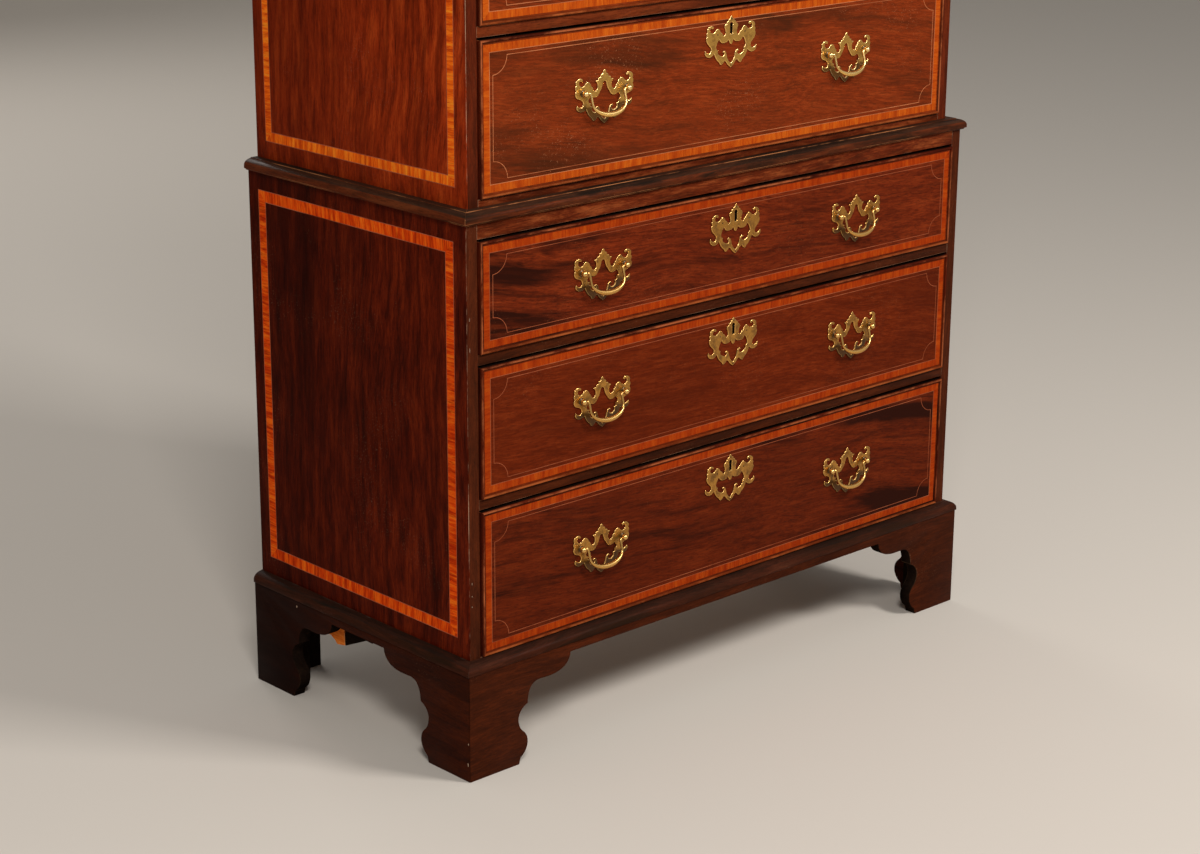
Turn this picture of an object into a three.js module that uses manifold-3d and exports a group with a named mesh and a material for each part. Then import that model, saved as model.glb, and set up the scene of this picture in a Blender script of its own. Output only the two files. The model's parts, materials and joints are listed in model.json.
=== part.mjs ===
// A chest on chest: a lower case of three long drawers on bracket feet, and an upper case of two short
// over three long drawers that stands inside a waist moulding and lifts off.
// Millimetres, +Z up, the front faces -Y.
import * as THREE from "three";
import { mergeVertices } from "three/addons/utils/BufferGeometryUtils.js";
import Module from "manifold-3d";

// Driving sizes of the two cases
const CASE_WIDTH = 1100;
const CASE_DEPTH = 527;
const UPPER_SETBACK = 18.5;
const SIDE_THICKNESS = 20;
const BACK_THICKNESS = 10;
const DIVIDER_THICKNESS = 16;
const PARTITION_THICKNESS = 18;
const LOWER_OPENING_HEIGHTS = [234, 206.5, 172];
const UPPER_OPENING_HEIGHTS = [232.5, 208, 184];
const SHORT_OPENING_HEIGHT = 158;

// Rails and boards that tie the sides together
const LOWER_BOTTOM_RAIL = 17.7;
const LOWER_TOP_RAIL = 29.5;
const UPPER_BOTTOM_RAIL = 22.7;
const FRIEZE_RAIL = 82;
const RAIL_DEPTH = 70;
const TOP_RAIL_DEPTH = 22;
const DUSTBOARD_THICKNESS = 10;
const CASE_BOARD_THICKNESS = 14;
const HOUSING_DEPTH = 7;
const HOUSING_STOP = 12;
const REBATE_WIDTH = 8;

// Plinth, bracket feet and their blocks
const PLINTH_HEIGHT = 172;
const PLINTH_PROJECTION = 17;
const PLINTH_THICKNESS = 22;
const APRON_HEIGHT = 157.5;
const FOOT_REACH = 206;
const REAR_BRACKET_REACH = 150;
const REAR_BRACKET_FOOT = 92;
const GLUE_BLOCK_WIDTH = 40;
const GLUE_BLOCK_LIFT = 4;

// Mouldings
const BASE_MOULDING_HEIGHT = 17.7;
const BASE_MOULDING_PROJECTION = 19.5;
const WAIST_PROJECTION = 8;
const WAIST_RISE = 12.5;
const WAIST_LIP = 6;
const WAIST_LEDGE = 13;
const WAIST_FASCIA = 6.25;
const CORNICE_HEIGHT = 74;
const CORNICE_PROJECTION = 42;
const MOULDING_FILLET = 3;

// Drawers
const DRAWER_SIDE_CLEARANCE = 3;
const DRAWER_TOP_CLEARANCE = 3.6;
const RUNNING_GAP = 0.6;
const DRAWER_REAR_CLEARANCE = 12;
const FRONT_THICKNESS = 20;
const FRONT_STANDOUT = 2.5;
const DRAWER_SIDE_THICKNESS = 9;
const DRAWER_SIDE_DROP = 6;
const DRAWER_BOTTOM_THICKNESS = 6;
const DRAWER_BOTTOM_LIFT = 9;
const DRAWER_BACK_DROP = 8;
const TAIL_LENGTH = 13;
const TAIL_PITCH = 62;
const FEWEST_TAILS = 2;
const TAIL_FOOT_SHARE = 0.2;
const TAIL_HEAD_SHARE = 0.333;
const COCKBEAD_WIDTH = 4;
const COCKBEAD_PROUD = 3;

// Pierced brass plates, their ball posts and bails
const PLATE_HALF_WIDTH = 57;
const PLATE_HEIGHT = 80;
const PLATE_THICKNESS = 1.6;
const POST_SPACING = 88;
const COLLAR_RADIUS = 5.6;
const COLLAR_THICKNESS = 1.4;
const NECK_RADIUS = 2.7;
const BALL_RADIUS = 4.8;
const BALL_STANDOFF = 8;
const BAIL_PIN_RADIUS = 1.3;
const BAIL_PIN_CLEARANCE = 0.6;
const BAIL_BORE_DEPTH = 3;
const BAIL_DROP = 35;
const BAIL_HALF_WIDTH = 34;
const BAIL_LEG_RADIUS = 1.7;
const BAIL_BELLY_RADIUS = 3.5;
const BAIL_REST_DEGREES = 16;
const KEYHOLE_WIDTH = 5;
const KEYHOLE_HEIGHT = 18.5;
const KEYHOLE_LIFT = 2.5;
const KEYHOLE_EYE_RADIUS = 3.2;
const KEYHOLE_DEPTH = 12;
const LOWER_PULL_OFFSET = 285;
const UPPER_PULL_OFFSET = 267;
const SHORT_PULL_OFFSET = 150;

// Levels of the brass from the lowest drawer up: the pulls as shares of their opening's height, and the key
// plates as drops from its top. They differ a little from drawer to drawer, as they were set by hand.
const LOWER_PULL_LEVEL_SHARES = [0.535, 0.546, 0.524];
const UPPER_PULL_LEVEL_SHARES = [0.562, 0.546, 0.546];
const SHORT_PULL_LEVEL_SHARE = 0.546;
const LOWER_KEY_PLATE_DROPS = [57.5, 51, 55];
const UPPER_KEY_PLATE_DROPS = [48, 52, 52];
const SHORT_KEY_PLATE_DROP = 52;

// Fits and construction allowances
const JOINT_GAP = 0.3;
const WELD = 0.4;
const OVERRUN = 5;

// Facets
const FOOT_CURVE_STEPS = 3;
const MOULDING_STEPS = 4;
const POST_SIDES = 6;
const BORE_SIDES = 5;
const KEYHOLE_STEPS = 3;
const BAIL_SIDES = 5;
const BAIL_CURVE_STEPS = 3;

// Half outline of a plate from its crown round the wing, horn and hook to its lower point:
// shares of the half width, and of the height measured from the level of the posts
const PLATE_EDGE_SHARES = [
  [0, 0.39], [0.24, 0.22], [0.3, 0.02], [0.47, 0.1], [0.6, 0.2], [0.755, 0.13], [0.86, 0.165],
  [0.79, 0.225], [0.81, 0.275], [0.955, 0.265], [1, 0], [0.76, -0.17], [0.79, -0.255],
  [0.975, -0.24], [0.93, -0.33], [0.65, -0.315], [0.36, -0.54], [0.25, -0.475], [0.12, -0.56],
  [0, -0.612],
];
const PULL_PIERCING_SHARES = [
  [0, 0.17], [0.07, 0.12], [0.13, 0.02], [0.25, -0.095], [0.4, -0.1], [0.56, -0.13],
  [0.5, -0.24], [0.38, -0.37], [0.27, -0.355], [0.24, -0.285], [0.15, -0.39], [0, -0.525],
];
const KEY_PLATE_PIERCING_SHARES = [
  [0, -0.165], [0.1, -0.083], [0.2, -0.125], [0.4, -0.11], [0.56, -0.17], [0.5, -0.31],
  [0.35, -0.37], [0.25, -0.285], [0.15, -0.39], [0, -0.525],
];

// Bracket foot from the apron's end to the floor: [control, end] pairs as shares of the reach and the apron
const FOOT_CURVE_SHARES = [
  [[0.985, 0.835], [0.8, 0.825]],
  [[0.745, 0.824], [0.69, 0.828]],
  [[0.575, 0.83], [0.568, 0.618]],
  [[0.49, 0.58], [0.478, 0.49]],
  [[0.476, 0.4], [0.52, 0.344]],
  [[0.568, 0.293], [0.568, 0.223]],
  [[0.568, 0.127], [0.495, 0.064]],
];
const FOOT_BASE_SHARE = 0.483;
const REAR_BRACKET_CURVE_SHARE = 0.45;

// Moulding profiles as shares of their projection and height
const BASE_CURVE_SHARES = [[0.08, 1], [0.97, 0.95], [1, 0.3]];
const CORNICE_SHARES = {
  beadOut: 0.1,
  beadUp: 0.08,
  coveOut: 0.48,
  coveUp: 0.42,
  stepOut: 0.55,
  stepUp: 0.5,
  cymaOut: 0.95,
  cymaUp: 0.84,
};

const FINISHES = {
  carcass: { color: 0x4a1d10, roughness: 0.38, metalness: 0 },
  moulding: { color: 0x2a1510, roughness: 0.4, metalness: 0 },
  drawerFront: { color: 0x6e2a12, roughness: 0.32, metalness: 0 },
  secondary: { color: 0xb0793f, roughness: 0.75, metalness: 0 },
  brass: { color: 0xa8823c, roughness: 0.35, metalness: 0.9 },
};

const wasm = await Module();
wasm.setup();

function materialOf(finish) {
  return new THREE.MeshStandardMaterial(FINISHES[finish]);
}

// Joining and cutting

// Only the geometry classes leave seams to merge: a skinned or cut body already shares its vertices.
function solidOf(geometry) {
  const bare = geometry.clone();
  const seamed = bare.hasAttribute("uv");
  bare.deleteAttribute("normal");
  bare.deleteAttribute("uv");
  const shared = seamed ? mergeVertices(bare) : bare;
  return new wasm.Manifold(
    new wasm.Mesh({
      numProp: 3,
      vertProperties: new Float32Array(shared.attributes.position.array),
      triVerts: new Uint32Array(shared.index.array),
    }),
  );
}

function geometryOf(solid) {
  const mesh = solid.getMesh();
  const geometry = new THREE.BufferGeometry();
  geometry.setAttribute("position", new THREE.BufferAttribute(mesh.vertProperties, 3));
  geometry.setIndex(new THREE.BufferAttribute(mesh.triVerts, 1));
  geometry.computeVertexNormals();
  return geometry;
}

function join(first, ...others) {
  return geometryOf(others.reduce((sum, geometry) => sum.add(solidOf(geometry)), solidOf(first)));
}

function cut(body, ...cutters) {
  return geometryOf(cutters.reduce((rest, geometry) => rest.subtract(solidOf(geometry)), solidOf(body)));
}

// Basic forms

function box(left, right, front, back, low, high) {
  const geometry = new THREE.BoxGeometry(right - left, back - front, high - low);
  return geometry.translate((left + right) / 2, (front + back) / 2, (low + high) / 2);
}

// An outline in x and z, standing from front to front + depth.
function frontPanel(shape, front, depth) {
  const geometry = new THREE.ExtrudeGeometry(shape, { depth, bevelEnabled: false });
  return geometry.rotateX(Math.PI / 2).translate(0, front + depth, 0);
}

// An outline in y and z, standing from left to left + thickness.
function sidePanel(shape, left, thickness) {
  const geometry = new THREE.ExtrudeGeometry(shape, { depth: thickness, bevelEnabled: false });
  const turn = new THREE.Matrix4().makeBasis(
    new THREE.Vector3(0, 1, 0),
    new THREE.Vector3(0, 0, 1),
    new THREE.Vector3(1, 0, 0),
  );
  return geometry.applyMatrix4(turn).translate(left, 0, 0);
}

// An outline in x and y, standing from low to high.
function upright(shape, low, high) {
  return new THREE.ExtrudeGeometry(shape, { depth: high - low, bevelEnabled: false }).translate(0, 0, low);
}

function outlineOf(points) {
  return new THREE.Shape(points.map(([x, y]) => new THREE.Vector2(x, y)));
}

// Rings of points in order along a sweep, skinned together. The faces of a cap follow the order of a ring's
// points, and without one the last ring joins the first.
function loft(rings, capFaces) {
  const count = rings[0].length;
  const endless = capFaces.length === 0;
  const faces = [];
  for (let ring = 0; ring < rings.length - (endless ? 0 : 1); ring += 1) {
    const here = ring * count;
    const next = ((ring + 1) % rings.length) * count;
    for (let point = 0; point < count; point += 1) {
      const after = (point + 1) % count;
      faces.push(here + point, next + point, next + after);
      faces.push(here + point, next + after, here + after);
    }
  }
  const last = (rings.length - 1) * count;
  for (const [a, b, c] of capFaces) {
    faces.push(a, b, c);
    faces.push(last + c, last + b, last + a);
  }
  const geometry = new THREE.BufferGeometry();
  geometry.setAttribute("position", new THREE.Float32BufferAttribute(rings.flat(2), 3));
  geometry.setIndex(faces);
  return facingOut(geometry);
}

function facingOut(geometry) {
  if (solidOf(geometry).volume() > 0) {
    return geometry;
  }
  const index = geometry.index.array;
  const turned = [];
  for (let corner = 0; corner < index.length; corner += 3) {
    turned.push(index[corner + 1], index[corner], index[corner + 2]);
  }
  geometry.setIndex(turned);
  return geometry;
}

// A profile of [out, up] points carried along the left side, the front and the right side of a case,
// mitred at both front corners and square at the back.
function mitredMoulding(profile, halfWidth, front, back, low) {
  const flat = profile.map(([out, up]) => new THREE.Vector2(out, up));
  if (THREE.ShapeUtils.isClockWise(flat)) {
    flat.reverse();
  }
  const ringAt = (place) => flat.map(({ x: out, y: up }) => [...place(out), low + up]);
  const rings = [
    ringAt((out) => [-halfWidth - out, back]),
    ringAt((out) => [-halfWidth - out, front - out]),
    ringAt((out) => [halfWidth + out, front - out]),
    ringAt((out) => [halfWidth + out, back]),
  ];
  return loft(rings, THREE.ShapeUtils.triangulateShape(flat, []));
}

// A profile of [inward, proud] points carried round a rectangle in the plane of a drawer front.
function beadFrame(profile, { left, right, low, high }, face) {
  const corners = [
    [left, low, 1, 1],
    [right, low, -1, 1],
    [right, high, -1, -1],
    [left, high, 1, -1],
  ];
  const rings = corners.map(([x, z, inX, inZ]) =>
    profile.map(([inward, proud]) => [x + inX * inward, face - proud, z + inZ * inward]),
  );
  return loft(rings, []);
}

function profilePoints(path) {
  return path.getPoints(MOULDING_STEPS).map(({ x, y }) => [x, y]);
}

// Heights and openings, from the floor up

const INNER_BACK = CASE_DEPTH - BACK_THICKNESS;

// Openings from the lowest up, with a divider over each but the last.
function stackOpenings(floor, heights) {
  const openings = [];
  let low = floor;
  for (const height of heights) {
    openings.push({ low, high: low + height });
    low += height + DIVIDER_THICKNESS;
  }
  return openings;
}

const LOWER_BASE = PLINTH_HEIGHT + JOINT_GAP;
const LOWER_OPENINGS = stackOpenings(LOWER_BASE + LOWER_BOTTOM_RAIL, LOWER_OPENING_HEIGHTS);
const LOWER_TOP = LOWER_OPENINGS.at(-1).high + LOWER_TOP_RAIL;
const UPPER_BASE = LOWER_TOP + JOINT_GAP;
const UPPER_OPENINGS = stackOpenings(UPPER_BASE + UPPER_BOTTOM_RAIL, [
  ...UPPER_OPENING_HEIGHTS,
  SHORT_OPENING_HEIGHT,
]);
const UPPER_TOP = UPPER_OPENINGS.at(-1).high + FRIEZE_RAIL;

const LOWER_CASE = {
  name: "lower",
  halfWidth: CASE_WIDTH / 2,
  front: 0,
  base: LOWER_BASE,
  top: LOWER_TOP,
  openings: LOWER_OPENINGS,
  bottomRail: LOWER_BOTTOM_RAIL,
  topRail: LOWER_TOP_RAIL,
};
const UPPER_CASE = {
  name: "upper",
  halfWidth: CASE_WIDTH / 2 - UPPER_SETBACK,
  front: UPPER_SETBACK,
  base: UPPER_BASE,
  top: UPPER_TOP,
  openings: UPPER_OPENINGS,
  bottomRail: UPPER_BOTTOM_RAIL,
  topRail: FRIEZE_RAIL,
};

// Case boards

// Each board that runs from side to side: a rail at the front, and a thinner board level with a face of it.
function crossPieces(chestCase) {
  const { base, top, openings, bottomRail, topRail, front } = chestCase;
  const pieces = [
    {
      name: "bottom",
      rail: { low: base, high: base + bottomRail, depth: RAIL_DEPTH },
      board: { low: base + bottomRail - CASE_BOARD_THICKNESS, high: base + bottomRail },
    },
    {
      name: "top",
      rail: { low: top - topRail, high: top, depth: TOP_RAIL_DEPTH },
      board: { low: top - CASE_BOARD_THICKNESS, high: top },
    },
  ];
  openings.slice(0, -1).forEach((opening, index) => {
    const high = opening.high + DIVIDER_THICKNESS;
    pieces.push({
      name: `divider_${index + 1}`,
      rail: { low: opening.high, high, depth: RAIL_DEPTH },
      board: { low: high - DUSTBOARD_THICKNESS, high },
    });
  });
  return pieces.map((piece) => ({ ...piece, front }));
}

function crossPiece(piece, inner) {
  const { rail, board, front } = piece;
  return join(
    box(-inner + JOINT_GAP, inner - JOINT_GAP, front, front + rail.depth, rail.low, rail.high),
    box(
      -inner - HOUSING_DEPTH + JOINT_GAP,
      inner + HOUSING_DEPTH - JOINT_GAP,
      front + HOUSING_STOP,
      INNER_BACK - JOINT_GAP,
      board.low,
      board.high,
    ),
  );
}

// The left side of a case, with a stopped housing for each cross piece and a rebate for the back.
function caseSide(chestCase) {
  const { halfWidth, front, base, top } = chestCase;
  const inner = -halfWidth + SIDE_THICKNESS;
  const housings = crossPieces(chestCase).map(({ board }) =>
    box(
      inner - HOUSING_DEPTH,
      inner + OVERRUN,
      front + HOUSING_STOP - JOINT_GAP,
      INNER_BACK + OVERRUN,
      board.low - JOINT_GAP,
      board.high + (board.high === top ? OVERRUN : JOINT_GAP),
    ),
  );
  const rebate = box(
    inner - REBATE_WIDTH - JOINT_GAP,
    inner + OVERRUN,
    INNER_BACK,
    CASE_DEPTH + OVERRUN,
    base - OVERRUN,
    top + OVERRUN,
  );
  return cut(box(-halfWidth, inner, front, CASE_DEPTH, base, top), ...housings, rebate);
}

function mirrored(geometry) {
  return facingOut(geometryOf(solidOf(geometry)).scale(-1, 1, 1));
}

function caseBoards(chestCase) {
  const { name, halfWidth, base, top } = chestCase;
  const inner = halfWidth - SIDE_THICKNESS;
  const left = caseSide(chestCase);
  const backHalf = inner + REBATE_WIDTH;
  const across = crossPieces(chestCase);
  return [
    [`${name}_left_side`, left, "carcass"],
    [`${name}_right_side`, mirrored(left), "carcass"],
    ...across.map((piece) => [`${name}_${piece.name}`, crossPiece(piece, inner), "carcass"]),
    [`${name}_back`, box(-backHalf, backHalf, INNER_BACK + JOINT_GAP, CASE_DEPTH, base, top), "secondary"],
  ];
}

// The upright between the two short drawers
function shortPartition() {
  const { low, high } = UPPER_OPENINGS.at(-1);
  const half = PARTITION_THICKNESS / 2;
  return box(-half, half, UPPER_SETBACK, INNER_BACK - JOINT_GAP, low + JOINT_GAP, high - JOINT_GAP);
}

// Mouldings

function baseProfile() {
  const curve = BASE_CURVE_SHARES.flatMap(([out, up]) => [
    out * BASE_MOULDING_PROJECTION,
    up * BASE_MOULDING_HEIGHT,
  ]);
  const path = new THREE.Path();
  path.moveTo(JOINT_GAP, BASE_MOULDING_HEIGHT);
  path.bezierCurveTo(...curve);
  path.lineTo(BASE_MOULDING_PROJECTION, JOINT_GAP);
  path.lineTo(JOINT_GAP, JOINT_GAP);
  return profilePoints(path);
}

// An L in section: the lip hangs over the lower case, and the ledge lies on it round the upper case's foot.
function waistProfile() {
  const ledgeInner = -UPPER_SETBACK + JOINT_GAP;
  const curveFoot = WAIST_FASCIA - WAIST_LIP;
  const path = new THREE.Path();
  path.moveTo(ledgeInner, JOINT_GAP);
  path.lineTo(ledgeInner, WAIST_RISE);
  path.lineTo(ledgeInner + WAIST_LEDGE, WAIST_RISE);
  path.quadraticCurveTo(WAIST_PROJECTION, WAIST_RISE, WAIST_PROJECTION, curveFoot);
  path.lineTo(WAIST_PROJECTION, curveFoot - MOULDING_FILLET);
  path.lineTo(WAIST_PROJECTION - MOULDING_FILLET, -WAIST_LIP);
  path.lineTo(JOINT_GAP, -WAIST_LIP);
  path.lineTo(JOINT_GAP, JOINT_GAP);
  return profilePoints(path);
}

function corniceProfile() {
  const out = (share) => CORNICE_PROJECTION * share;
  const up = (share) => CORNICE_HEIGHT * share;
  const { beadOut, beadUp, coveOut, coveUp, stepOut, stepUp, cymaOut, cymaUp } = CORNICE_SHARES;
  const path = new THREE.Path();
  path.moveTo(JOINT_GAP, 0);
  path.lineTo(out(beadOut), 0);
  path.lineTo(out(beadOut), up(beadUp));
  path.quadraticCurveTo(out(beadOut), up(coveUp), out(coveOut), up(coveUp));
  path.lineTo(out(stepOut), up(coveUp));
  path.lineTo(out(stepOut), up(stepUp));
  path.bezierCurveTo(out(cymaOut), up(stepUp), out(stepOut), up(cymaUp), out(cymaOut), up(cymaUp));
  path.lineTo(CORNICE_PROJECTION, up(cymaUp));
  path.lineTo(CORNICE_PROJECTION, CORNICE_HEIGHT);
  path.lineTo(JOINT_GAP, CORNICE_HEIGHT);
  return profilePoints(path);
}

function mouldings() {
  const lowerHalf = CASE_WIDTH / 2;
  return [
    [
      "base_moulding",
      mitredMoulding(baseProfile(), lowerHalf, 0, CASE_DEPTH, PLINTH_HEIGHT),
      "moulding",
    ],
    ["waist_moulding", mitredMoulding(waistProfile(), lowerHalf, 0, CASE_DEPTH, LOWER_TOP), "moulding"],
    [
      "cornice",
      mitredMoulding(
        corniceProfile(),
        UPPER_CASE.halfWidth,
        UPPER_CASE.front,
        CASE_DEPTH,
        UPPER_TOP - CORNICE_HEIGHT,
      ),
      "moulding",
    ],
  ];
}

// Plinth and feet

// The shaped edge of a bracket foot, from the apron down to the floor, as [reach, height] points.
function footEdge() {
  const place = ([reach, height]) => [reach * FOOT_REACH, height * APRON_HEIGHT];
  const path = new THREE.Path();
  path.moveTo(FOOT_REACH, APRON_HEIGHT);
  for (const [control, end] of FOOT_CURVE_SHARES) {
    path.quadraticCurveTo(...place(control), ...place(end));
  }
  path.lineTo(FOOT_BASE_SHARE * FOOT_REACH, 0);
  return path.getPoints(FOOT_CURVE_STEPS).map(({ x, y }) => [x, y]);
}

// A plinth board with a foot at each end, from start to end along its length.
function plinthOutline(start, end) {
  const edge = footEdge();
  const falling = edge.map(([reach, height]) => [end - reach, height]);
  const rising = edge.map(([reach, height]) => [start + reach, height]).reverse();
  return outlineOf([
    [start, 0],
    ...rising,
    ...falling,
    [end, 0],
    [end, PLINTH_HEIGHT],
    [start, PLINTH_HEIGHT],
  ]);
}

// A wedge with its long face on the mitre of the front left corner, taking what lies behind or beside it.
function mitreWedge(behind) {
  const outer = -CASE_WIDTH / 2 - PLINTH_PROJECTION;
  const front = -PLINTH_PROJECTION;
  const reach = PLINTH_THICKNESS + OVERRUN;
  const gap = behind ? JOINT_GAP * Math.SQRT2 : 0;
  const near = [outer - OVERRUN, front - OVERRUN - gap];
  const far = [outer + reach, front + reach - gap];
  const corner = behind ? [near[0], far[1]] : [far[0], near[1]];
  return upright(outlineOf([near, far, corner]), -OVERRUN, PLINTH_HEIGHT + OVERRUN);
}

function plinth() {
  const outer = CASE_WIDTH / 2 + PLINTH_PROJECTION;
  const front = -PLINTH_PROJECTION;
  const behind = mitreWedge(true);
  const frontBoard = cut(
    frontPanel(plinthOutline(-outer, outer), front, PLINTH_THICKNESS),
    behind,
    mirrored(behind),
  );
  const leftBoard = cut(
    sidePanel(plinthOutline(front, CASE_DEPTH), -outer, PLINTH_THICKNESS),
    mitreWedge(false),
  );
  return [
    ["plinth_front", frontBoard, "carcass"],
    ["plinth_left", leftBoard, "carcass"],
    ["plinth_right", mirrored(leftBoard), "carcass"],
  ];
}

// The plain bracket behind each rear foot, cut back in one sweep.
function rearBracket() {
  const inner = -CASE_WIDTH / 2 - PLINTH_PROJECTION + PLINTH_THICKNESS + JOINT_GAP;
  const foot = inner + REAR_BRACKET_FOOT;
  const tip = inner + REAR_BRACKET_REACH;
  const shape = new THREE.Shape();
  shape.moveTo(inner, 0);
  shape.lineTo(foot, 0);
  shape.lineTo(foot, REAR_BRACKET_CURVE_SHARE * PLINTH_HEIGHT);
  shape.quadraticCurveTo(foot, APRON_HEIGHT, tip, APRON_HEIGHT);
  shape.lineTo(tip, PLINTH_HEIGHT);
  shape.lineTo(inner, PLINTH_HEIGHT);
  const geometry = new THREE.ExtrudeGeometry(shape, {
    depth: PLINTH_THICKNESS,
    bevelEnabled: false,
    curveSegments: FOOT_CURVE_STEPS,
  });
  return geometry.rotateX(Math.PI / 2).translate(0, CASE_DEPTH, 0);
}

function glueBlock(front) {
  const left = -CASE_WIDTH / 2 - PLINTH_PROJECTION + PLINTH_THICKNESS + JOINT_GAP;
  return box(
    left,
    left + GLUE_BLOCK_WIDTH,
    front,
    front + GLUE_BLOCK_WIDTH,
    GLUE_BLOCK_LIFT,
    PLINTH_HEIGHT,
  );
}

function feet() {
  const bracket = rearBracket();
  const frontBlock = glueBlock(PLINTH_THICKNESS - PLINTH_PROJECTION + JOINT_GAP);
  const rearBlock = glueBlock(CASE_DEPTH - PLINTH_THICKNESS - JOINT_GAP - GLUE_BLOCK_WIDTH);
  return [
    ["rear_bracket_left", bracket, "secondary"],
    ["rear_bracket_right", mirrored(bracket), "secondary"],
    ["front_block_left", frontBlock, "secondary"],
    ["front_block_right", mirrored(frontBlock), "secondary"],
    ["rear_block_left", rearBlock, "secondary"],
    ["rear_block_right", mirrored(rearBlock), "secondary"],
  ];
}

// Brass

// A whole outline about x = 0 from the shares of its right half.
function plateOutline(shares) {
  const half = shares.map(([across, up]) => [across * PLATE_HALF_WIDTH, up * PLATE_HEIGHT]);
  const otherHalf = half.slice(1, -1).reverse().map(([across, up]) => [-across, up]);
  return [...half, ...otherHalf].map(([x, y]) => new THREE.Vector2(x, y));
}

// A pierced plate that lies on a drawer front, welded a little way into it.
function plate(piercingShares, x, z, face) {
  const shape = new THREE.Shape(plateOutline(PLATE_EDGE_SHARES));
  shape.holes.push(new THREE.Path(plateOutline(piercingShares).reverse()));
  return frontPanel(shape, face - PLATE_THICKNESS, PLATE_THICKNESS + WELD).translate(x, 0, z);
}

// A collared post turned about its own axis, with a ball head bored across for the bail's pin.
function post(x, z, face, inward) {
  const shoulder = BALL_RADIUS * Math.SQRT1_2;
  const profile = [
    [0, -WELD],
    [COLLAR_RADIUS, -WELD],
    [COLLAR_RADIUS, PLATE_THICKNESS + COLLAR_THICKNESS],
    [NECK_RADIUS, BALL_STANDOFF - shoulder],
    [BALL_RADIUS, BALL_STANDOFF],
    [shoulder, BALL_STANDOFF + shoulder],
    [0, BALL_STANDOFF + BALL_RADIUS],
  ];
  const turned = new THREE.LatheGeometry(
    profile.map(([radius, height]) => new THREE.Vector2(radius, height)),
    POST_SIDES,
  ).rotateX(Math.PI);
  const boreRadius = BAIL_PIN_RADIUS + BAIL_PIN_CLEARANCE;
  const boreLength = BAIL_BORE_DEPTH + OVERRUN;
  const boreCentre = BALL_RADIUS - BAIL_BORE_DEPTH + boreLength / 2;
  const bore = new THREE.CylinderGeometry(boreRadius, boreRadius, boreLength, BORE_SIDES)
    .rotateZ(Math.PI / 2)
    .translate(inward * boreCentre, -BALL_STANDOFF, 0);
  return cut(turned, bore).translate(x, face, z);
}

// One bail hanging from its pins: pin, leg and swollen belly, as rings across a bent line.
function bail() {
  const pinEnd = POST_SPACING / 2 - BALL_RADIUS + BAIL_BORE_DEPTH - JOINT_GAP;
  const elbow = BAIL_HALF_WIDTH + BAIL_LEG_RADIUS;
  const legFoot = BAIL_DROP / 2;
  const half = [
    { across: pinEnd, down: 0, radius: BAIL_PIN_RADIUS },
    { across: elbow + BAIL_LEG_RADIUS, down: 0, radius: BAIL_PIN_RADIUS },
    { across: BAIL_HALF_WIDTH, down: elbow - BAIL_HALF_WIDTH, radius: BAIL_LEG_RADIUS },
  ];
  for (let step = 0; step < BAIL_CURVE_STEPS; step += 1) {
    const turn = (step / BAIL_CURVE_STEPS) * (Math.PI / 2);
    half.push({
      across: BAIL_HALF_WIDTH * Math.cos(turn),
      down: legFoot + (BAIL_DROP - legFoot) * Math.sin(turn),
      radius: BAIL_LEG_RADIUS + (BAIL_BELLY_RADIUS - BAIL_LEG_RADIUS) * Math.sin(turn) ** 2,
    });
  }
  const belly = { across: 0, down: BAIL_DROP, radius: BAIL_BELLY_RADIUS };
  const otherHalf = half.map((station) => ({ ...station, across: -station.across })).reverse();
  const stations = [...half, belly, ...otherHalf];
  const rings = stations.map((station, index) => {
    const before = stations[Math.max(index - 1, 0)];
    const after = stations[Math.min(index + 1, stations.length - 1)];
    const along = new THREE.Vector2(after.across - before.across, before.down - after.down).normalize();
    return ringAcross(station, along);
  });
  const fan = Array.from({ length: BAIL_SIDES - 2 }, (_, corner) => [0, corner + 1, corner + 2]);
  return loft(rings, fan);
}

// A ring of points in the plane square to a direction that lies in x and z.
function ringAcross({ across, down, radius }, along) {
  return Array.from({ length: BAIL_SIDES }, (_, corner) => {
    const angle = (corner / BAIL_SIDES) * 2 * Math.PI;
    const inPlane = radius * Math.cos(angle);
    return [across - along.y * inPlane, radius * Math.sin(angle), -down + along.x * inPlane];
  });
}

function keyhole(x, z, face) {
  const half = KEYHOLE_WIDTH / 2;
  const eyeCentre = KEYHOLE_LIFT + KEYHOLE_HEIGHT - KEYHOLE_EYE_RADIUS;
  const opening = 2 * Math.asin(half / KEYHOLE_EYE_RADIUS);
  const start = (opening - Math.PI) / 2;
  const shape = new THREE.Shape();
  shape.moveTo(-half, KEYHOLE_LIFT);
  shape.lineTo(half, KEYHOLE_LIFT);
  shape.absarc(0, eyeCentre, KEYHOLE_EYE_RADIUS, start, start + 2 * Math.PI - opening, false);
  const geometry = new THREE.ExtrudeGeometry(shape, {
    depth: OVERRUN + KEYHOLE_DEPTH,
    bevelEnabled: false,
    curveSegments: KEYHOLE_STEPS,
  });
  return geometry.rotateX(Math.PI / 2).translate(x, face + KEYHOLE_DEPTH, z);
}

// Drawers

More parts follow.
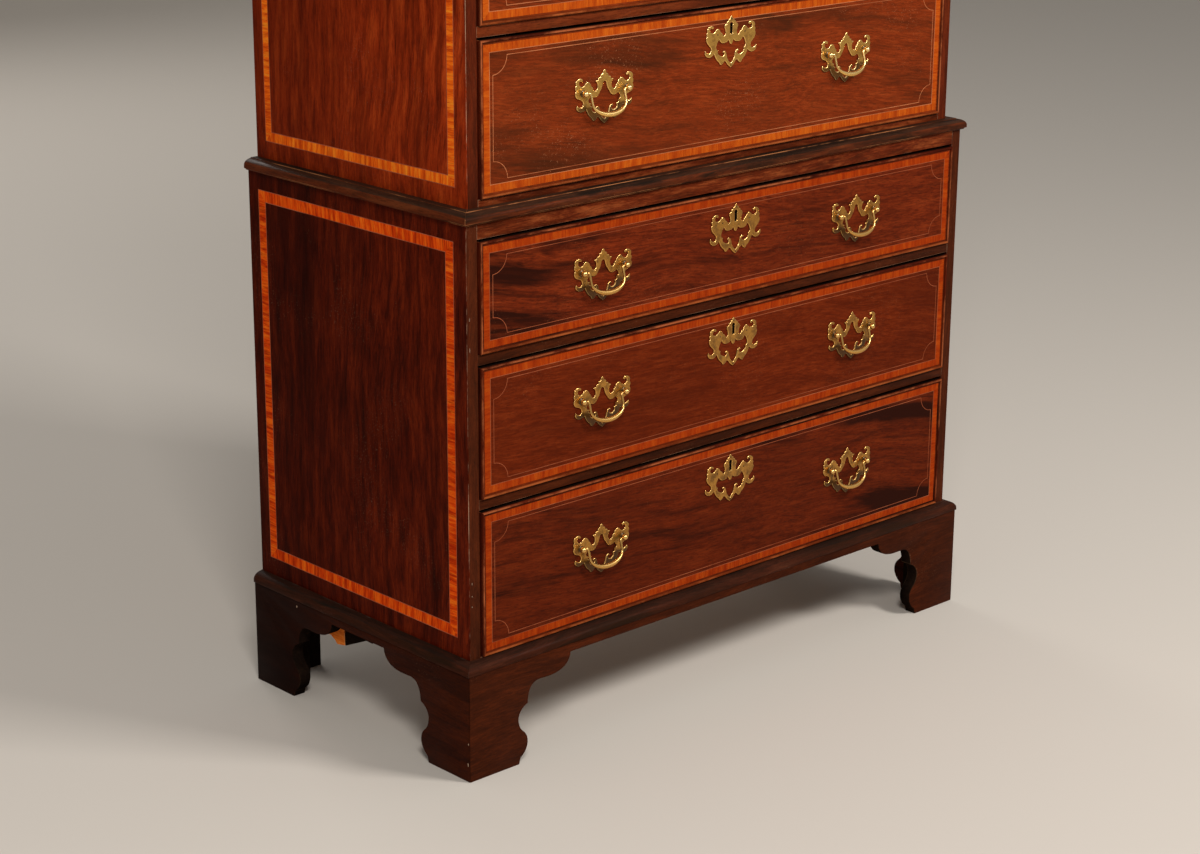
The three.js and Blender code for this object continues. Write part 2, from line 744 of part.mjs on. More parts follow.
// Places of every drawer: its opening and the run of its brass.
function drawerPlaces() {
  const places = [];
  const lowerInner = CASE_WIDTH / 2 - SIDE_THICKNESS;
  const upperInner = UPPER_CASE.halfWidth - SIDE_THICKNESS;
  LOWER_OPENINGS.forEach((opening, index) => {
    places.push({
      ...opening,
      name: `lower_drawer_${LOWER_OPENINGS.length - index}`,
      left: -lowerInner,
      right: lowerInner,
      face: -FRONT_STANDOUT,
      pullOffset: LOWER_PULL_OFFSET,
      pullShare: LOWER_PULL_LEVEL_SHARES[index],
      keyPlateDrop: LOWER_KEY_PLATE_DROPS[index],
    });
  });
  const upperFace = UPPER_SETBACK - FRONT_STANDOUT;
  const longOpenings = UPPER_OPENINGS.slice(0, -1);
  longOpenings.forEach((opening, index) => {
    places.push({
      ...opening,
      face: upperFace,
      name: `upper_drawer_${longOpenings.length - index}`,
      left: -upperInner,
      right: upperInner,
      pullOffset: UPPER_PULL_OFFSET,
      pullShare: UPPER_PULL_LEVEL_SHARES[index],
      keyPlateDrop: UPPER_KEY_PLATE_DROPS[index],
    });
  });
  const short = {
    ...UPPER_OPENINGS.at(-1),
    face: upperFace,
    pullOffset: SHORT_PULL_OFFSET,
    pullShare: SHORT_PULL_LEVEL_SHARE,
    keyPlateDrop: SHORT_KEY_PLATE_DROP,
  };
  const half = PARTITION_THICKNESS / 2;
  places.push({ ...short, name: "short_drawer_left", left: -upperInner, right: -half });
  places.push({ ...short, name: "short_drawer_right", left: half, right: upperInner });
  return places;
}

// The drawer's own sizes inside its opening.
function drawerSizes(place) {
  const left = place.left + DRAWER_SIDE_CLEARANCE;
  const right = place.right - DRAWER_SIDE_CLEARANCE;
  const low = place.low + RUNNING_GAP;
  const high = place.high - DRAWER_TOP_CLEARANCE;
  return {
    left,
    right,
    low,
    high,
    centre: (left + right) / 2,
    shoulder: place.face + FRONT_THICKNESS,
    rear: INNER_BACK - DRAWER_REAR_CLEARANCE,
    sideHigh: high - DRAWER_SIDE_DROP,
    pullLevel: place.low + place.pullShare * (place.high - place.low),
    keyLevel: place.high - place.keyPlateDrop,
  };
}

// The dovetails up a drawer side: the level of each, and its half height at the shoulder and at its head.
function tailsOf({ low, sideHigh }) {
  const count = Math.max(FEWEST_TAILS, Math.round((sideHigh - low) / TAIL_PITCH));
  const pitch = (sideHigh - low) / count;
  return Array.from({ length: count }, (_, index) => ({
    middle: low + pitch * index + pitch / 2,
    narrow: pitch * TAIL_FOOT_SHARE,
    wide: pitch * TAIL_HEAD_SHARE,
  }));
}

// The outline of a drawer side in y and z, with its tails reaching into the front.
function sideOutline(sizes) {
  const { shoulder, rear, low, sideHigh } = sizes;
  const start = shoulder + JOINT_GAP;
  const points = [[rear, low], [rear, sideHigh], [start, sideHigh]];
  for (const { middle, narrow, wide } of tailsOf(sizes).reverse()) {
    points.push([start, middle + narrow], [shoulder - TAIL_LENGTH, middle + wide]);
    points.push([shoulder - TAIL_LENGTH, middle - wide], [start, middle - narrow]);
  }
  points.push([start, low]);
  return outlineOf(points);
}

// The socket that a tail fills, with the same flare and a clearance all round, as an outline in y and z.
function socketOutline({ shoulder }, { middle, narrow, wide }) {
  const start = shoulder + JOINT_GAP;
  const slope = (wide - narrow) / (start - shoulder + TAIL_LENGTH);
  const halfAt = (y) => narrow + slope * (start - y) + JOINT_GAP;
  const depth = shoulder - TAIL_LENGTH - JOINT_GAP;
  const mouth = shoulder + OVERRUN;
  return outlineOf([
    [depth, middle - halfAt(depth)],
    [mouth, middle - halfAt(mouth)],
    [mouth, middle + halfAt(mouth)],
    [depth, middle + halfAt(depth)],
  ]);
}

function drawerBox(sizes) {
  const { left, right, low, rear, sideHigh, shoulder } = sizes;
  const outline = sideOutline(sizes);
  const floorLow = low + DRAWER_BOTTOM_LIFT;
  return join(
    sidePanel(outline, left, DRAWER_SIDE_THICKNESS),
    sidePanel(outline, right - DRAWER_SIDE_THICKNESS, DRAWER_SIDE_THICKNESS),
    box(
      left + WELD,
      right - WELD,
      rear - DRAWER_SIDE_THICKNESS,
      rear,
      floorLow,
      sideHigh - DRAWER_BACK_DROP,
    ),
    box(
      left + WELD,
      right - WELD,
      shoulder + JOINT_GAP,
      rear,
      floorLow,
      floorLow + DRAWER_BOTTOM_THICKNESS,
    ),
  );
}

function drawerFront(place, sizes) {
  const { left, right, low, high, centre, shoulder, pullLevel, keyLevel } = sizes;
  const { face, pullOffset } = place;
  const beadProfile = [
    [0, -WELD],
    [0, COCKBEAD_PROUD / 2],
    [COCKBEAD_WIDTH / 2, COCKBEAD_PROUD],
    [COCKBEAD_WIDTH, COCKBEAD_PROUD / 2],
    [COCKBEAD_WIDTH, -WELD],
  ];
  const brass = [plate(KEY_PLATE_PIERCING_SHARES, centre, keyLevel, face)];
  for (const side of [-1, 1]) {
    const pull = centre + side * pullOffset;
    brass.push(plate(PULL_PIERCING_SHARES, pull, pullLevel, face));
    brass.push(post(pull - POST_SPACING / 2, pullLevel, face, 1));
    brass.push(post(pull + POST_SPACING / 2, pullLevel, face, -1));
  }
  const dressed = join(
    box(left, right, face, shoulder, low, high),
    beadFrame(beadProfile, sizes, face),
    ...brass,
  );
  const sockets = tailsOf(sizes).flatMap((tail) => {
    const outline = socketOutline(sizes, tail);
    const width = DRAWER_SIDE_THICKNESS + JOINT_GAP + OVERRUN;
    return [
      sidePanel(outline, left - OVERRUN, width),
      sidePanel(outline, right - DRAWER_SIDE_THICKNESS - JOINT_GAP, width),
    ];
  });
  return cut(dressed, ...sockets, keyhole(centre, keyLevel, face));
}

// The model

const chest = new THREE.Group();

function addMesh(name, geometry, finish) {
  const mesh = new THREE.Mesh(geometry, materialOf(finish));
  mesh.name = name;
  chest.add(mesh);
  return mesh;
}

function addDrawer(place) {
  const sizes = drawerSizes(place);
  addMesh(`${place.name}_front`, drawerFront(place, sizes), "drawerFront");
  addMesh(`${place.name}_box`, drawerBox(sizes), "secondary");
  for (const [hand, side] of [["left", -1], ["right", 1]]) {
    const mesh = addMesh(`${place.name}_bail_${hand}`, bail(), "brass");
    mesh.position.set(sizes.centre + side * place.pullOffset, place.face - BALL_STANDOFF, sizes.pullLevel);
    mesh.rotation.x = -THREE.MathUtils.degToRad(BAIL_REST_DEGREES);
  }
}

const fixedPieces = [
  ...caseBoards(LOWER_CASE),
  ...plinth(),
  ...feet(),
  ...caseBoards(UPPER_CASE),
  ["short_drawer_partition", shortPartition(), "carcass"],
  ...mouldings(),
];
for (const [name, geometry, finish] of fixedPieces) {
  addMesh(name, geometry, finish);
}
drawerPlaces().forEach(addDrawer);

// The origin lies on the floor, midway between the cornice's front edge and the back.
const model = new THREE.Group();
chest.position.y = -(UPPER_SETBACK - CORNICE_PROJECTION + CASE_DEPTH) / 2;
model.add(chest);

export default model;
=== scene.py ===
"""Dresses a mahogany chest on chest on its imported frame, in metres.

+Z is up and the drawer fronts face -Y. The case's sides, partition and glue blocks keep their solids and
get softened arrises and timber. The rails, drawers, mouldings, feet, back boards, inlay and brass are made
here as separate pieces in the places of their solids.
"""

from __future__ import annotations

import json
import logging
from dataclasses import dataclass, field, replace
from enum import Enum
from math import asin, cos, pi, radians, sin, sqrt
from typing import Any, Callable, Iterable, Sequence

import bmesh
import bpy
import numpy as np
from mathutils import Matrix, Vector
from mathutils.geometry import delaunay_2d_cdt, interpolate_bezier

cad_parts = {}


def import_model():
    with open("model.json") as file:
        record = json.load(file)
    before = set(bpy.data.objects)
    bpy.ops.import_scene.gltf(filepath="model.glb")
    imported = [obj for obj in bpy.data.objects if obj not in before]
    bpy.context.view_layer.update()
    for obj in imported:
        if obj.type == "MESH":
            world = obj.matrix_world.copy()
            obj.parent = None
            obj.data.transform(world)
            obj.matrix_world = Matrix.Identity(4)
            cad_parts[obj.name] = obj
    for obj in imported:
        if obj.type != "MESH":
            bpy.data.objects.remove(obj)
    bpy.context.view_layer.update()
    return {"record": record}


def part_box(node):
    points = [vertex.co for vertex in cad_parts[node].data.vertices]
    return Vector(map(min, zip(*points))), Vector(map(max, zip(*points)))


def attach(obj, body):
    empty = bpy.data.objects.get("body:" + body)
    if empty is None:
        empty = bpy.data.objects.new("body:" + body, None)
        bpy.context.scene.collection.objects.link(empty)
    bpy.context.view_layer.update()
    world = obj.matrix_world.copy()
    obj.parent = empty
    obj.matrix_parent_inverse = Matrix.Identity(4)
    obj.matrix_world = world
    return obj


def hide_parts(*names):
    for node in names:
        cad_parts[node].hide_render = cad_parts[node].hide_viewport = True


log = logging.getLogger("chest")

MM = 0.001
FIT = 0.3 * MM
# Attribute for rubbing on wood and brass, which on the brasses also holds painted highlight and shade.
WEAR_AND_LIGHT = "wear"
LOT = "timber_lot"
LOT_STEP = 0.37
HAND_NAMES = {-1: "left", 1: "right"}
SHARP_ANGLE = 40.0
SMOOTH_ANGLE = 32.0
HEAD_TOP_SHARE = 0.8

Colour = tuple[float, float, float]
Flat = tuple[float, float]
Spot = tuple[float, float, float]
Place = Callable[[float, float, float], Spot]
Outline = Sequence[tuple[Any, ...]]
Section = Callable[[float, float], Spot]
Edges = tuple[float, float, float, float]
Tree = bpy.types.NodeTree
Work = bmesh.types.BMesh
Ring = Sequence[bmesh.types.BMVert]
Faces = list[bmesh.types.BMFace]
Way = tuple[Vector, float]
Material = bpy.types.Material
Mesh = bpy.types.Mesh
Piece = bpy.types.Object


# Node helpers


class Graph:
    """Adds and links the nodes of one node tree."""

    def __init__(self, tree: Tree) -> None:
        """Wraps the node tree to build in."""
        self.tree = tree

    def add(self, kind: str, feeds: dict[Any, Any] | None = None, **settings: Any) -> bpy.types.Node:
        """Adds a node.

        Args:
            kind: The node's type name.
            feeds: What each input socket gets: another socket to link, or a value.
            **settings: Properties to set on the node.

        Returns:
            The new node.
        """
        node = self.tree.nodes.new(kind)
        for key, value in settings.items():
            setattr(node, key, value)
        for key, value in (feeds or {}).items():
            if isinstance(value, bpy.types.NodeSocket):
                self.tree.links.new(value, node.inputs[key])
            else:
                node.inputs[key].default_value = value
        return node

    def stretch(self, vector: Any, factors: Spot) -> Any:
        """Returns the vector with its parts multiplied by the factors."""
        return self.add("ShaderNodeVectorMath", {0: vector, 1: factors}, operation="MULTIPLY").outputs[0]

    def shift(self, vector: Any, other: Any) -> Any:
        """Returns the sum of two vectors."""
        return self.add("ShaderNodeVectorMath", {0: vector, 1: other}, operation="ADD").outputs[0]

    def scale(self, vector: Any, factor: Any) -> Any:
        """Returns the vector times a single value."""
        feeds = {0: vector, "Scale": factor}
        return self.add("ShaderNodeVectorMath", feeds, operation="SCALE").outputs[0]

    def noise(self, vector: Any, scale: float = 1.0, detail: float = 2.0, roughness: float = 0.5) -> Any:
        """Returns the value of a noise texture read at the vector."""
        feeds = {"Vector": vector, "Scale": scale, "Detail": detail, "Roughness": roughness}
        return self.add("ShaderNodeTexNoise", feeds).outputs[0]

    def maths(self, operation: str, first: Any, second: Any) -> Any:
        """Returns the outcome of a maths operation on two values."""
        return self.add("ShaderNodeMath", {0: first, 1: second}, operation=operation).outputs[0]

    def plus(self, first: Any, second: Any) -> Any:
        """Returns the sum of two values."""
        return self.maths("ADD", first, second)

    def less(self, first: Any, second: Any) -> Any:
        """Returns the first value less the second."""
        return self.maths("SUBTRACT", first, second)

    def times(self, first: Any, second: Any) -> Any:
        """Returns the product of two values."""
        return self.maths("MULTIPLY", first, second)

    def attribute(self, name: str, kind: str = "GEOMETRY") -> Any:
        """Returns the value of an attribute of the mesh or, for kind OBJECT, of the object."""
        return self.add("ShaderNodeAttribute", attribute_type=kind, attribute_name=name).outputs["Fac"]

    def own_spot(self) -> Any:
        """Returns the place on the piece in its own coordinates."""
        return self.add("ShaderNodeTexCoord").outputs["Object"]

    def own_lot(self) -> Any:
        """Returns the piece's lot as a vector, which sets its figure apart from that of other pieces."""
        lot = self.attribute(LOT, "OBJECT")
        return self.add("ShaderNodeCombineXYZ", {0: lot, 1: lot, 2: lot}).outputs[0]

    def span(self, value: Any, low: Any, high: Any, to_low: float = 0.0, to_high: float = 1.0) -> Any:
        """Returns the value carried smoothly from one range to another."""
        feeds = {"Value": value, "From Min": low, "From Max": high, "To Min": to_low, "To Max": to_high}
        return self.add("ShaderNodeMapRange", feeds, interpolation_type="SMOOTHSTEP").outputs[0]

    def blend(self, factor: Any, first: Any, second: Any, how: str = "MIX") -> Any:
        """Returns a colour mixed from two by the factor."""
        node = self.add("ShaderNodeMix", {0: factor, 6: first, 7: second}, data_type="RGBA", blend_type=how)
        return node.outputs[2]


def opaque(colour: Colour) -> tuple[float, float, float, float]:
    """Returns the colour with a full alpha."""
    return (*colour, 1.0)


def build_group(
    name: str,
    takes: Sequence[tuple[str, str]],
    gives: Sequence[tuple[str, str]],
    fill: Callable[[Graph, Any], dict[str, Any]],
) -> Tree:
    """Builds a shader node group once and returns it each time it is asked for.

    Args:
        name: The group's name.
        takes: Name and socket type of each input.
        gives: Name and socket type of each output.
        fill: Builds the inside from the graph and the input sockets, and returns the socket of each output.

    Returns:
        The node group.
    """
    if name in bpy.data.node_groups:
        return bpy.data.node_groups[name]
    tree = bpy.data.node_groups.new(name, "ShaderNodeTree")
    for label, kind in takes:
        tree.interface.new_socket(label, in_out="INPUT", socket_type=kind)
    for label, kind in gives:
        tree.interface.new_socket(label, in_out="OUTPUT", socket_type=kind)
    graph = Graph(tree)
    entry = graph.add("NodeGroupInput")
    made = fill(graph, entry.outputs)
    graph.add("NodeGroupOutput", made)
    return tree


def fresh_material(name: str) -> tuple[Material, Graph]:
    """Returns a new material with no nodes, and the graph that fills it."""
    material = bpy.data.materials.new(name)
    material.use_nodes = True
    material.node_tree.nodes.clear()
    return material, Graph(material.node_tree)


VALUE = "NodeSocketFloat"
COLOUR = "NodeSocketColor"
VECTOR = "NodeSocketVector"
FIGURE_TONES = ("Ground", "Streak", "Light")
FIGURE_LEVELS = (
    "Streak Scale", "Streak Amount", "Fibre Scale", "Fibre Amount", "Mottle Amount", "Pore Amount",
)
SWAY_REACH = (0.02, 0.07, 0.07)
BROAD_STREAK_STRETCH = (1.6, 17.0, 17.0)
NARROW_STREAK_STRETCH = (3.4, 70.0, 70.0)
FIBRE_STRETCH = (26.0, 380.0, 380.0)
MOTTLE_STRETCH = (10.0, 75.0, 75.0)
PORE_STRETCH = (110.0, 600.0, 600.0)
SMEAR_STRETCH = (9.0, 30.0, 30.0)
CHIP_STRETCH = (0.35, 1.0, 1.0)
LOT_STRETCH = (3.1, 1.7, 2.3)


def timber_figure() -> Tree:
    """Returns the group that draws figure, fibres and pores, with the grain along the vector's X."""

    def fill(graph: Graph, given: Any) -> dict[str, Any]:
        """Draws broad dark streaks, narrow ones, a slow mottle, fibres and pores."""
        place = given["Vector"]
        sway = graph.add("ShaderNodeTexNoise", {"Vector": place, "Scale": 2.6, "Detail": 2.0}).outputs[1]
        centred = graph.shift(sway, (-0.5, -0.5, -0.5))
        bent = graph.shift(place, graph.stretch(centred, SWAY_REACH))
        scaled = graph.scale(bent, given["Streak Scale"])
        broad = graph.noise(graph.stretch(scaled, BROAD_STREAK_STRETCH), detail=5.0, roughness=0.62)
        narrow = graph.noise(graph.stretch(scaled, NARROW_STREAK_STRETCH), detail=4.0, roughness=0.65)
        wide = graph.span(broad, 0.5, 0.66)
        streaks = graph.plus(wide, graph.span(narrow, 0.5, 0.74, to_high=0.7))
        streaks = graph.times(streaks, given["Streak Amount"])
        threads = graph.scale(bent, given["Fibre Scale"])
        fibre = graph.noise(graph.stretch(threads, FIBRE_STRETCH), detail=4.0, roughness=0.75)
        mottle = graph.noise(graph.stretch(bent, MOTTLE_STRETCH), detail=5.0, roughness=0.7)
        pores = graph.span(graph.noise(graph.stretch(place, PORE_STRETCH), detail=1.0), 0.54, 0.68)
        pores = graph.times(pores, given["Pore Amount"])
        colour = given["Ground"]
        for value, amount in ((mottle, given["Mottle Amount"]), (fibre, given["Fibre Amount"])):
            pale = graph.times(graph.span(value, 0.48, 0.68), amount)
            deep = graph.times(graph.span(value, 0.52, 0.34), amount)
            colour = graph.blend(pale, colour, given["Light"])
            colour = graph.blend(deep, colour, given["Streak"])
        colour = graph.blend(graph.maths("MINIMUM", streaks, 1.0), colour, given["Streak"])
        colour = graph.blend(graph.times(pores, 0.6), colour, given["Streak"])
        height = graph.less(graph.times(fibre, 0.35), pores)
        return {"Color": colour, "Height": height}

    takes = [("Vector", VECTOR)]
    takes += [(label, COLOUR) for label in FIGURE_TONES]
    takes += [(label, VALUE) for label in FIGURE_LEVELS]
    return build_group("timber_figure", takes, [("Color", COLOUR), ("Height", VALUE)], fill)


def worn_edge() -> Tree:
    """Returns the group that breaks a wear value up into rubbed and chipped patches."""

    def fill(graph: Graph, given: Any) -> dict[str, Any]:
        """Sets long soft rubbing against short chips and keeps what passes the threshold."""
        place = given["Vector"]
        rubbed = graph.noise(place, scale=7.0, detail=3.0, roughness=0.6)
        short = graph.stretch(place, CHIP_STRETCH)
        chipped = graph.noise(short, scale=160.0, detail=3.0, roughness=0.7)
        rough = graph.plus(graph.times(rubbed, 0.7), graph.times(chipped, 0.3))
        reach = graph.less(1.0, given["Amount"])
        mask = graph.span(rough, graph.less(reach, 0.05), graph.plus(reach, 0.13))
        return {"Mask": graph.times(mask, given["Wear"])}

    takes = [("Vector", VECTOR), ("Wear", VALUE), ("Amount", VALUE)]
    return build_group("worn_edge", takes, [("Mask", VALUE)], fill)


def old_polish() -> Tree:
    """Returns the group that mottles a polished surface and marks its small scuffs."""

    def fill(graph: Graph, given: Any) -> dict[str, Any]:
        """Makes a slow cloud for depth and sheen, and sparse pale specks."""
        place = given["Vector"]
        cloud = graph.span(graph.noise(place, scale=3.4, detail=4.0, roughness=0.6), 0.3, 0.7)
        smear = graph.span(graph.noise(graph.stretch(place, SMEAR_STRETCH), detail=3.0), 0.35, 0.75)
        speck = graph.span(graph.noise(place, scale=380.0, detail=3.0, roughness=0.75), 0.6, 0.7)
        sparse = graph.span(graph.noise(place, scale=7.0, detail=4.0, roughness=0.6), 0.5, 0.66)
        return {"Cloud": cloud, "Smear": smear, "Scuff": graph.times(speck, sparse)}

    gives = [("Cloud", VALUE), ("Smear", VALUE), ("Scuff", VALUE)]
    return build_group("old_polish", [("Vector", VECTOR)], gives, fill)


# Finishes


class Grain(Enum):
    """Which way the grain of a piece runs, as the turn that brings it to X."""

    X = (0.0, 0.0, 0.0)
    Y = (0.0, 0.0, -pi / 2)
    Z = (0.0, pi / 2, 0.0)


@dataclass(frozen=True)
class Timber:
    """A wood with its polish.

    The colours are those of the ground, the dark streaks, the light fibres and the worn arrises.
    """

    name: str
    ground: Colour
    streak: Colour
    light: Colour
    worn: Colour
    drift: float = 0.0
    streak_scale: float = 1.0
    streak_amount: float = 0.8
    fibre_scale: float = 1.0
    fibre_amount: float = 0.3
    mottle_amount: float = 0.35
    pore_amount: float = 0.6
    roughness: float = 0.4
    smear_sheen: float = 0.05
    smear_dullness: float = 0.09
    worn_dullness: float = 0.2
    gloss: float = 0.015
    wear_amount: float = 0.5
    scuff: float = 0.25
    bump: float = 0.06
    relief: float = 0.4 * MM
    cloud_depth: float = 0.3
    # Darkening towards the piece's back: where it starts and ends, and how deep it goes.
    soot_start: float = 0.0
    soot_end: float = 0.0
    soot_amount: float = 0.0

    def material(self, grain: Grain, arris: bool = False) -> Material:
        """Makes or finds the material for one direction of grain.

        Args:
            grain: The direction of the grain.
            arris: Whether it is for the narrow faces of softened edges, which are worn all over.

        Returns:
            The material.
        """
        name = f"{self.name}_{grain.name.lower()}{'_arris' if arris else ''}"
        if name in bpy.data.materials:
            return bpy.data.materials[name]
        material, graph = fresh_material(name)
        place = self.own_place(graph, grain)
        makers = (timber_figure, old_polish, worn_edge)
        figure, polish, edge = (graph.add("ShaderNodeGroup", node_tree=make()) for make in makers)
        for label in FIGURE_TONES:
            figure.inputs[label].default_value = opaque(getattr(self, label.lower()))
        for label in FIGURE_LEVELS:
            figure.inputs[label].default_value = getattr(self, label.lower().replace(" ", "_"))
        for group in (figure, polish, edge):
            graph.tree.links.new(place, group.inputs["Vector"])
        edge.inputs["Amount"].default_value = self.wear_amount
        edge.inputs["Wear"].default_value = 1.0
        if not arris:
            graph.tree.links.new(graph.attribute(WEAR_AND_LIGHT), edge.inputs["Wear"])
        deep = graph.times(polish.outputs["Cloud"], self.cloud_depth)
        colour = graph.blend(deep, figure.outputs["Color"], opaque(self.streak))
        # Darker towards the piece's back.
        if self.soot_amount:
            own = graph.own_spot()
            back = graph.add("ShaderNodeSeparateXYZ", {"Vector": own}).outputs["Y"]
            soot = graph.span(back, self.soot_start, self.soot_end, to_high=self.soot_amount)
            colour = graph.blend(soot, colour, opaque(self.streak))
        scuffed = graph.times(polish.outputs["Scuff"], self.scuff)
        colour = graph.blend(scuffed, colour, opaque(self.worn))
        colour = graph.blend(edge.outputs["Mask"], colour, opaque(self.worn))
        low = self.roughness - self.smear_sheen
        high = self.roughness + self.smear_dullness
        sheen = graph.span(polish.outputs["Smear"], 0.0, 1.0, to_low=low, to_high=high)
        sheen = graph.plus(sheen, graph.times(edge.outputs["Mask"], self.worn_dullness))
        bumps = {"Height": figure.outputs["Height"], "Strength": self.bump, "Distance": self.relief}
        relief = graph.add("ShaderNodeBump", bumps)
        feeds = {
            "Base Color": colour, "Roughness": sheen,
            "Specular IOR Level": self.gloss, "Normal": relief.outputs[0],
        }
        shader = graph.add("ShaderNodeBsdfPrincipled", feeds)
        graph.add("ShaderNodeOutputMaterial", {"Surface": shader.outputs[0]})
        return material

    def like(self, name: str, **changes: Any) -> Timber:
        """Returns another timber that differs from this one in its name and in the changes."""
        return replace(self, name=name, **changes)

    def own_place(self, graph: Graph, grain: Grain) -> Any:
        """Returns the place on a piece with its grain turned to X, set apart from that on other pieces."""
        own = graph.own_spot()
        turn = (grain.value[0], grain.value[1] + self.drift, grain.value[2])
        turned = graph.add("ShaderNodeMapping", {"Vector": own, "Rotation": turn}).outputs[0]
        return graph.shift(turned, graph.stretch(graph.own_lot(), LOT_STRETCH))


# The lower sides darken towards the back.
LOWER_SIDE_MAHOGANY = Timber(
    "lower_side_mahogany", (0.108, 0.0094, 0.002), (0.02, 0.0022, 0.0008), (0.225, 0.0245, 0.0042),
    (0.42, 0.25, 0.16), streak_amount=0.65, mottle_amount=0.7, wear_amount=0.52, soot_start=-0.25,
    soot_end=0.28, soot_amount=0.5,
)
UPPER_SIDE_MAHOGANY = LOWER_SIDE_MAHOGANY.like(
    "upper_side_mahogany", ground=(0.34, 0.031, 0.0046), streak=(0.07, 0.0065, 0.0016),
    light=(0.6, 0.08, 0.0115),
)
DRAWER_MAHOGANY = Timber(
    "drawer_mahogany", (0.15, 0.019, 0.004), (0.022, 0.0045, 0.0022), (0.34, 0.058, 0.012),
    (0.42, 0.16, 0.07), drift=-0.1, streak_amount=0.7, fibre_amount=0.4, mottle_amount=0.3,
)
# The lower drawers' timbers have darker grounds than the light mahogany of the upper ones: their own
# figure, and painted shade that deepens down the chest.
STREAKED_MAHOGANY = DRAWER_MAHOGANY.like(
    "streaked_mahogany", ground=(0.14, 0.0172, 0.004), light=(0.28, 0.044, 0.009), streak_amount=0.95,
)
PLAIN_MAHOGANY = DRAWER_MAHOGANY.like(
    "plain_mahogany", ground=(0.124, 0.0148, 0.0027), streak=(0.05, 0.0066, 0.002),
    light=(0.24, 0.038, 0.0078), streak_amount=0.35,
)
DARK_MAHOGANY = DRAWER_MAHOGANY.like(
    "dark_mahogany", ground=(0.112, 0.0138, 0.0031), light=(0.185, 0.029, 0.006), streak_amount=1.0,
)
LIGHT_MAHOGANY = DRAWER_MAHOGANY.like(
    "light_mahogany", ground=(0.178, 0.0235, 0.0045), streak=(0.055, 0.0125, 0.004),
    light=(0.33, 0.056, 0.0112), scuff=0.75,
)
STILE_MAHOGANY = Timber(
    "stile_mahogany", (0.07, 0.0135, 0.0042), (0.02, 0.006, 0.0028), (0.15, 0.03, 0.008),
    (0.32, 0.16, 0.09), streak_scale=1.4, streak_amount=0.6, wear_amount=0.42,
)
UPPER_STILE_MAHOGANY = STILE_MAHOGANY.like(
    "upper_stile_mahogany", ground=(0.11, 0.0145, 0.0042), light=(0.2, 0.033, 0.008),
)
RAIL_MAHOGANY = STILE_MAHOGANY.like(
    "rail_mahogany", ground=(0.06, 0.0118, 0.0034), light=(0.11, 0.023, 0.006), streak_scale=1.6,
    wear_amount=0.5,
)
TOP_RAIL_MAHOGANY = RAIL_MAHOGANY.like(
    "top_rail_mahogany", ground=(0.12, 0.0165, 0.004), streak=(0.03, 0.0065, 0.0024),
    light=(0.36, 0.085, 0.022), mottle_amount=0.6,
)
MOULDING_MAHOGANY = Timber(
    "moulding_mahogany", (0.115, 0.021, 0.006), (0.02, 0.0085, 0.0045), (0.17, 0.045, 0.014),
    (0.42, 0.16, 0.06), streak_scale=1.5, streak_amount=0.9, mottle_amount=0.5, wear_amount=0.54,
)
# A darker timber for the mouldings' upward faces: painted shade.
LEDGE_MAHOGANY = MOULDING_MAHOGANY.like(
    "ledge_mahogany", ground=(0.052, 0.0195, 0.01), streak=(0.014, 0.0085, 0.006),
    light=(0.085, 0.036, 0.018), mottle_amount=0.4, wear_amount=0.15,
)
PLINTH_MAHOGANY = Timber(
    "plinth_mahogany", (0.05, 0.0105, 0.0034), (0.018, 0.0048, 0.0024), (0.11, 0.02, 0.0052),
    (0.33, 0.15, 0.08), streak_scale=0.9, streak_amount=0.5, wear_amount=0.36,
)
BASE_MOULDING_MAHOGANY = MOULDING_MAHOGANY.like(
    "base_moulding_mahogany", ground=(0.046, 0.0112, 0.0055), light=(0.09, 0.026, 0.012),
    worn=(0.2, 0.14, 0.11), wear_amount=0.46,
)
BASE_LEDGE_MAHOGANY = LEDGE_MAHOGANY.like(
    "base_ledge_mahogany", ground=(0.036, 0.0108, 0.006), light=(0.068, 0.024, 0.013),
)
# A darker copy of the plinth's timber for its sides, and darker still towards the back: painted shade.
PLINTH_SIDE_MAHOGANY = PLINTH_MAHOGANY.like(
    "plinth_side_mahogany", ground=(0.05, 0.0092, 0.003), streak=(0.008, 0.0036, 0.0028),
    light=(0.075, 0.015, 0.004), soot_start=-0.06, soot_end=0.2, soot_amount=0.75,
)
UPPER_RAIL_MAHOGANY = RAIL_MAHOGANY.like(
    "upper_rail_mahogany", ground=(0.15, 0.025, 0.0065), light=(0.26, 0.055, 0.013),
)
BEAD_MAHOGANY = Timber(
    "bead_mahogany", (0.075, 0.0085, 0.0025), (0.02, 0.0035, 0.0018), (0.16, 0.022, 0.006),
    (0.34, 0.09, 0.03), wear_amount=0.52,
)
# A lighter bead for the drawers' bottom edges: rubbing, and painted light on a crown that looks up.
LIT_WORN_BEAD = BEAD_MAHOGANY.like(
    "lit_worn_bead", ground=(0.15, 0.024, 0.0048), streak=(0.07, 0.013, 0.004), light=(0.26, 0.05, 0.0105),
    worn=(0.33, 0.082, 0.021),
)
# Near black for the drawer fronts' edges, the keyhole's walls and the dovetail sockets: some dirt, and
# painted shade in the gaps round the drawers and in the keyhole.
EDGE_SHADE_AND_GRIME = Timber(
    "edge_shade_and_grime", (0.008, 0.0042, 0.0028), (0.004, 0.0025, 0.002), (0.02, 0.009, 0.005),
    (0.04, 0.018, 0.01), gloss=0.0,
)
SATINWOOD = Timber(
    "satinwood", (0.43, 0.066, 0.0045), (0.2, 0.014, 0.0022), (0.62, 0.16, 0.012), (0.6, 0.2, 0.05),
    streak_scale=9.0, streak_amount=0.35, fibre_scale=0.8, fibre_amount=0.32, mottle_amount=0.42,
    pore_amount=0.2, cloud_depth=0.12,
)
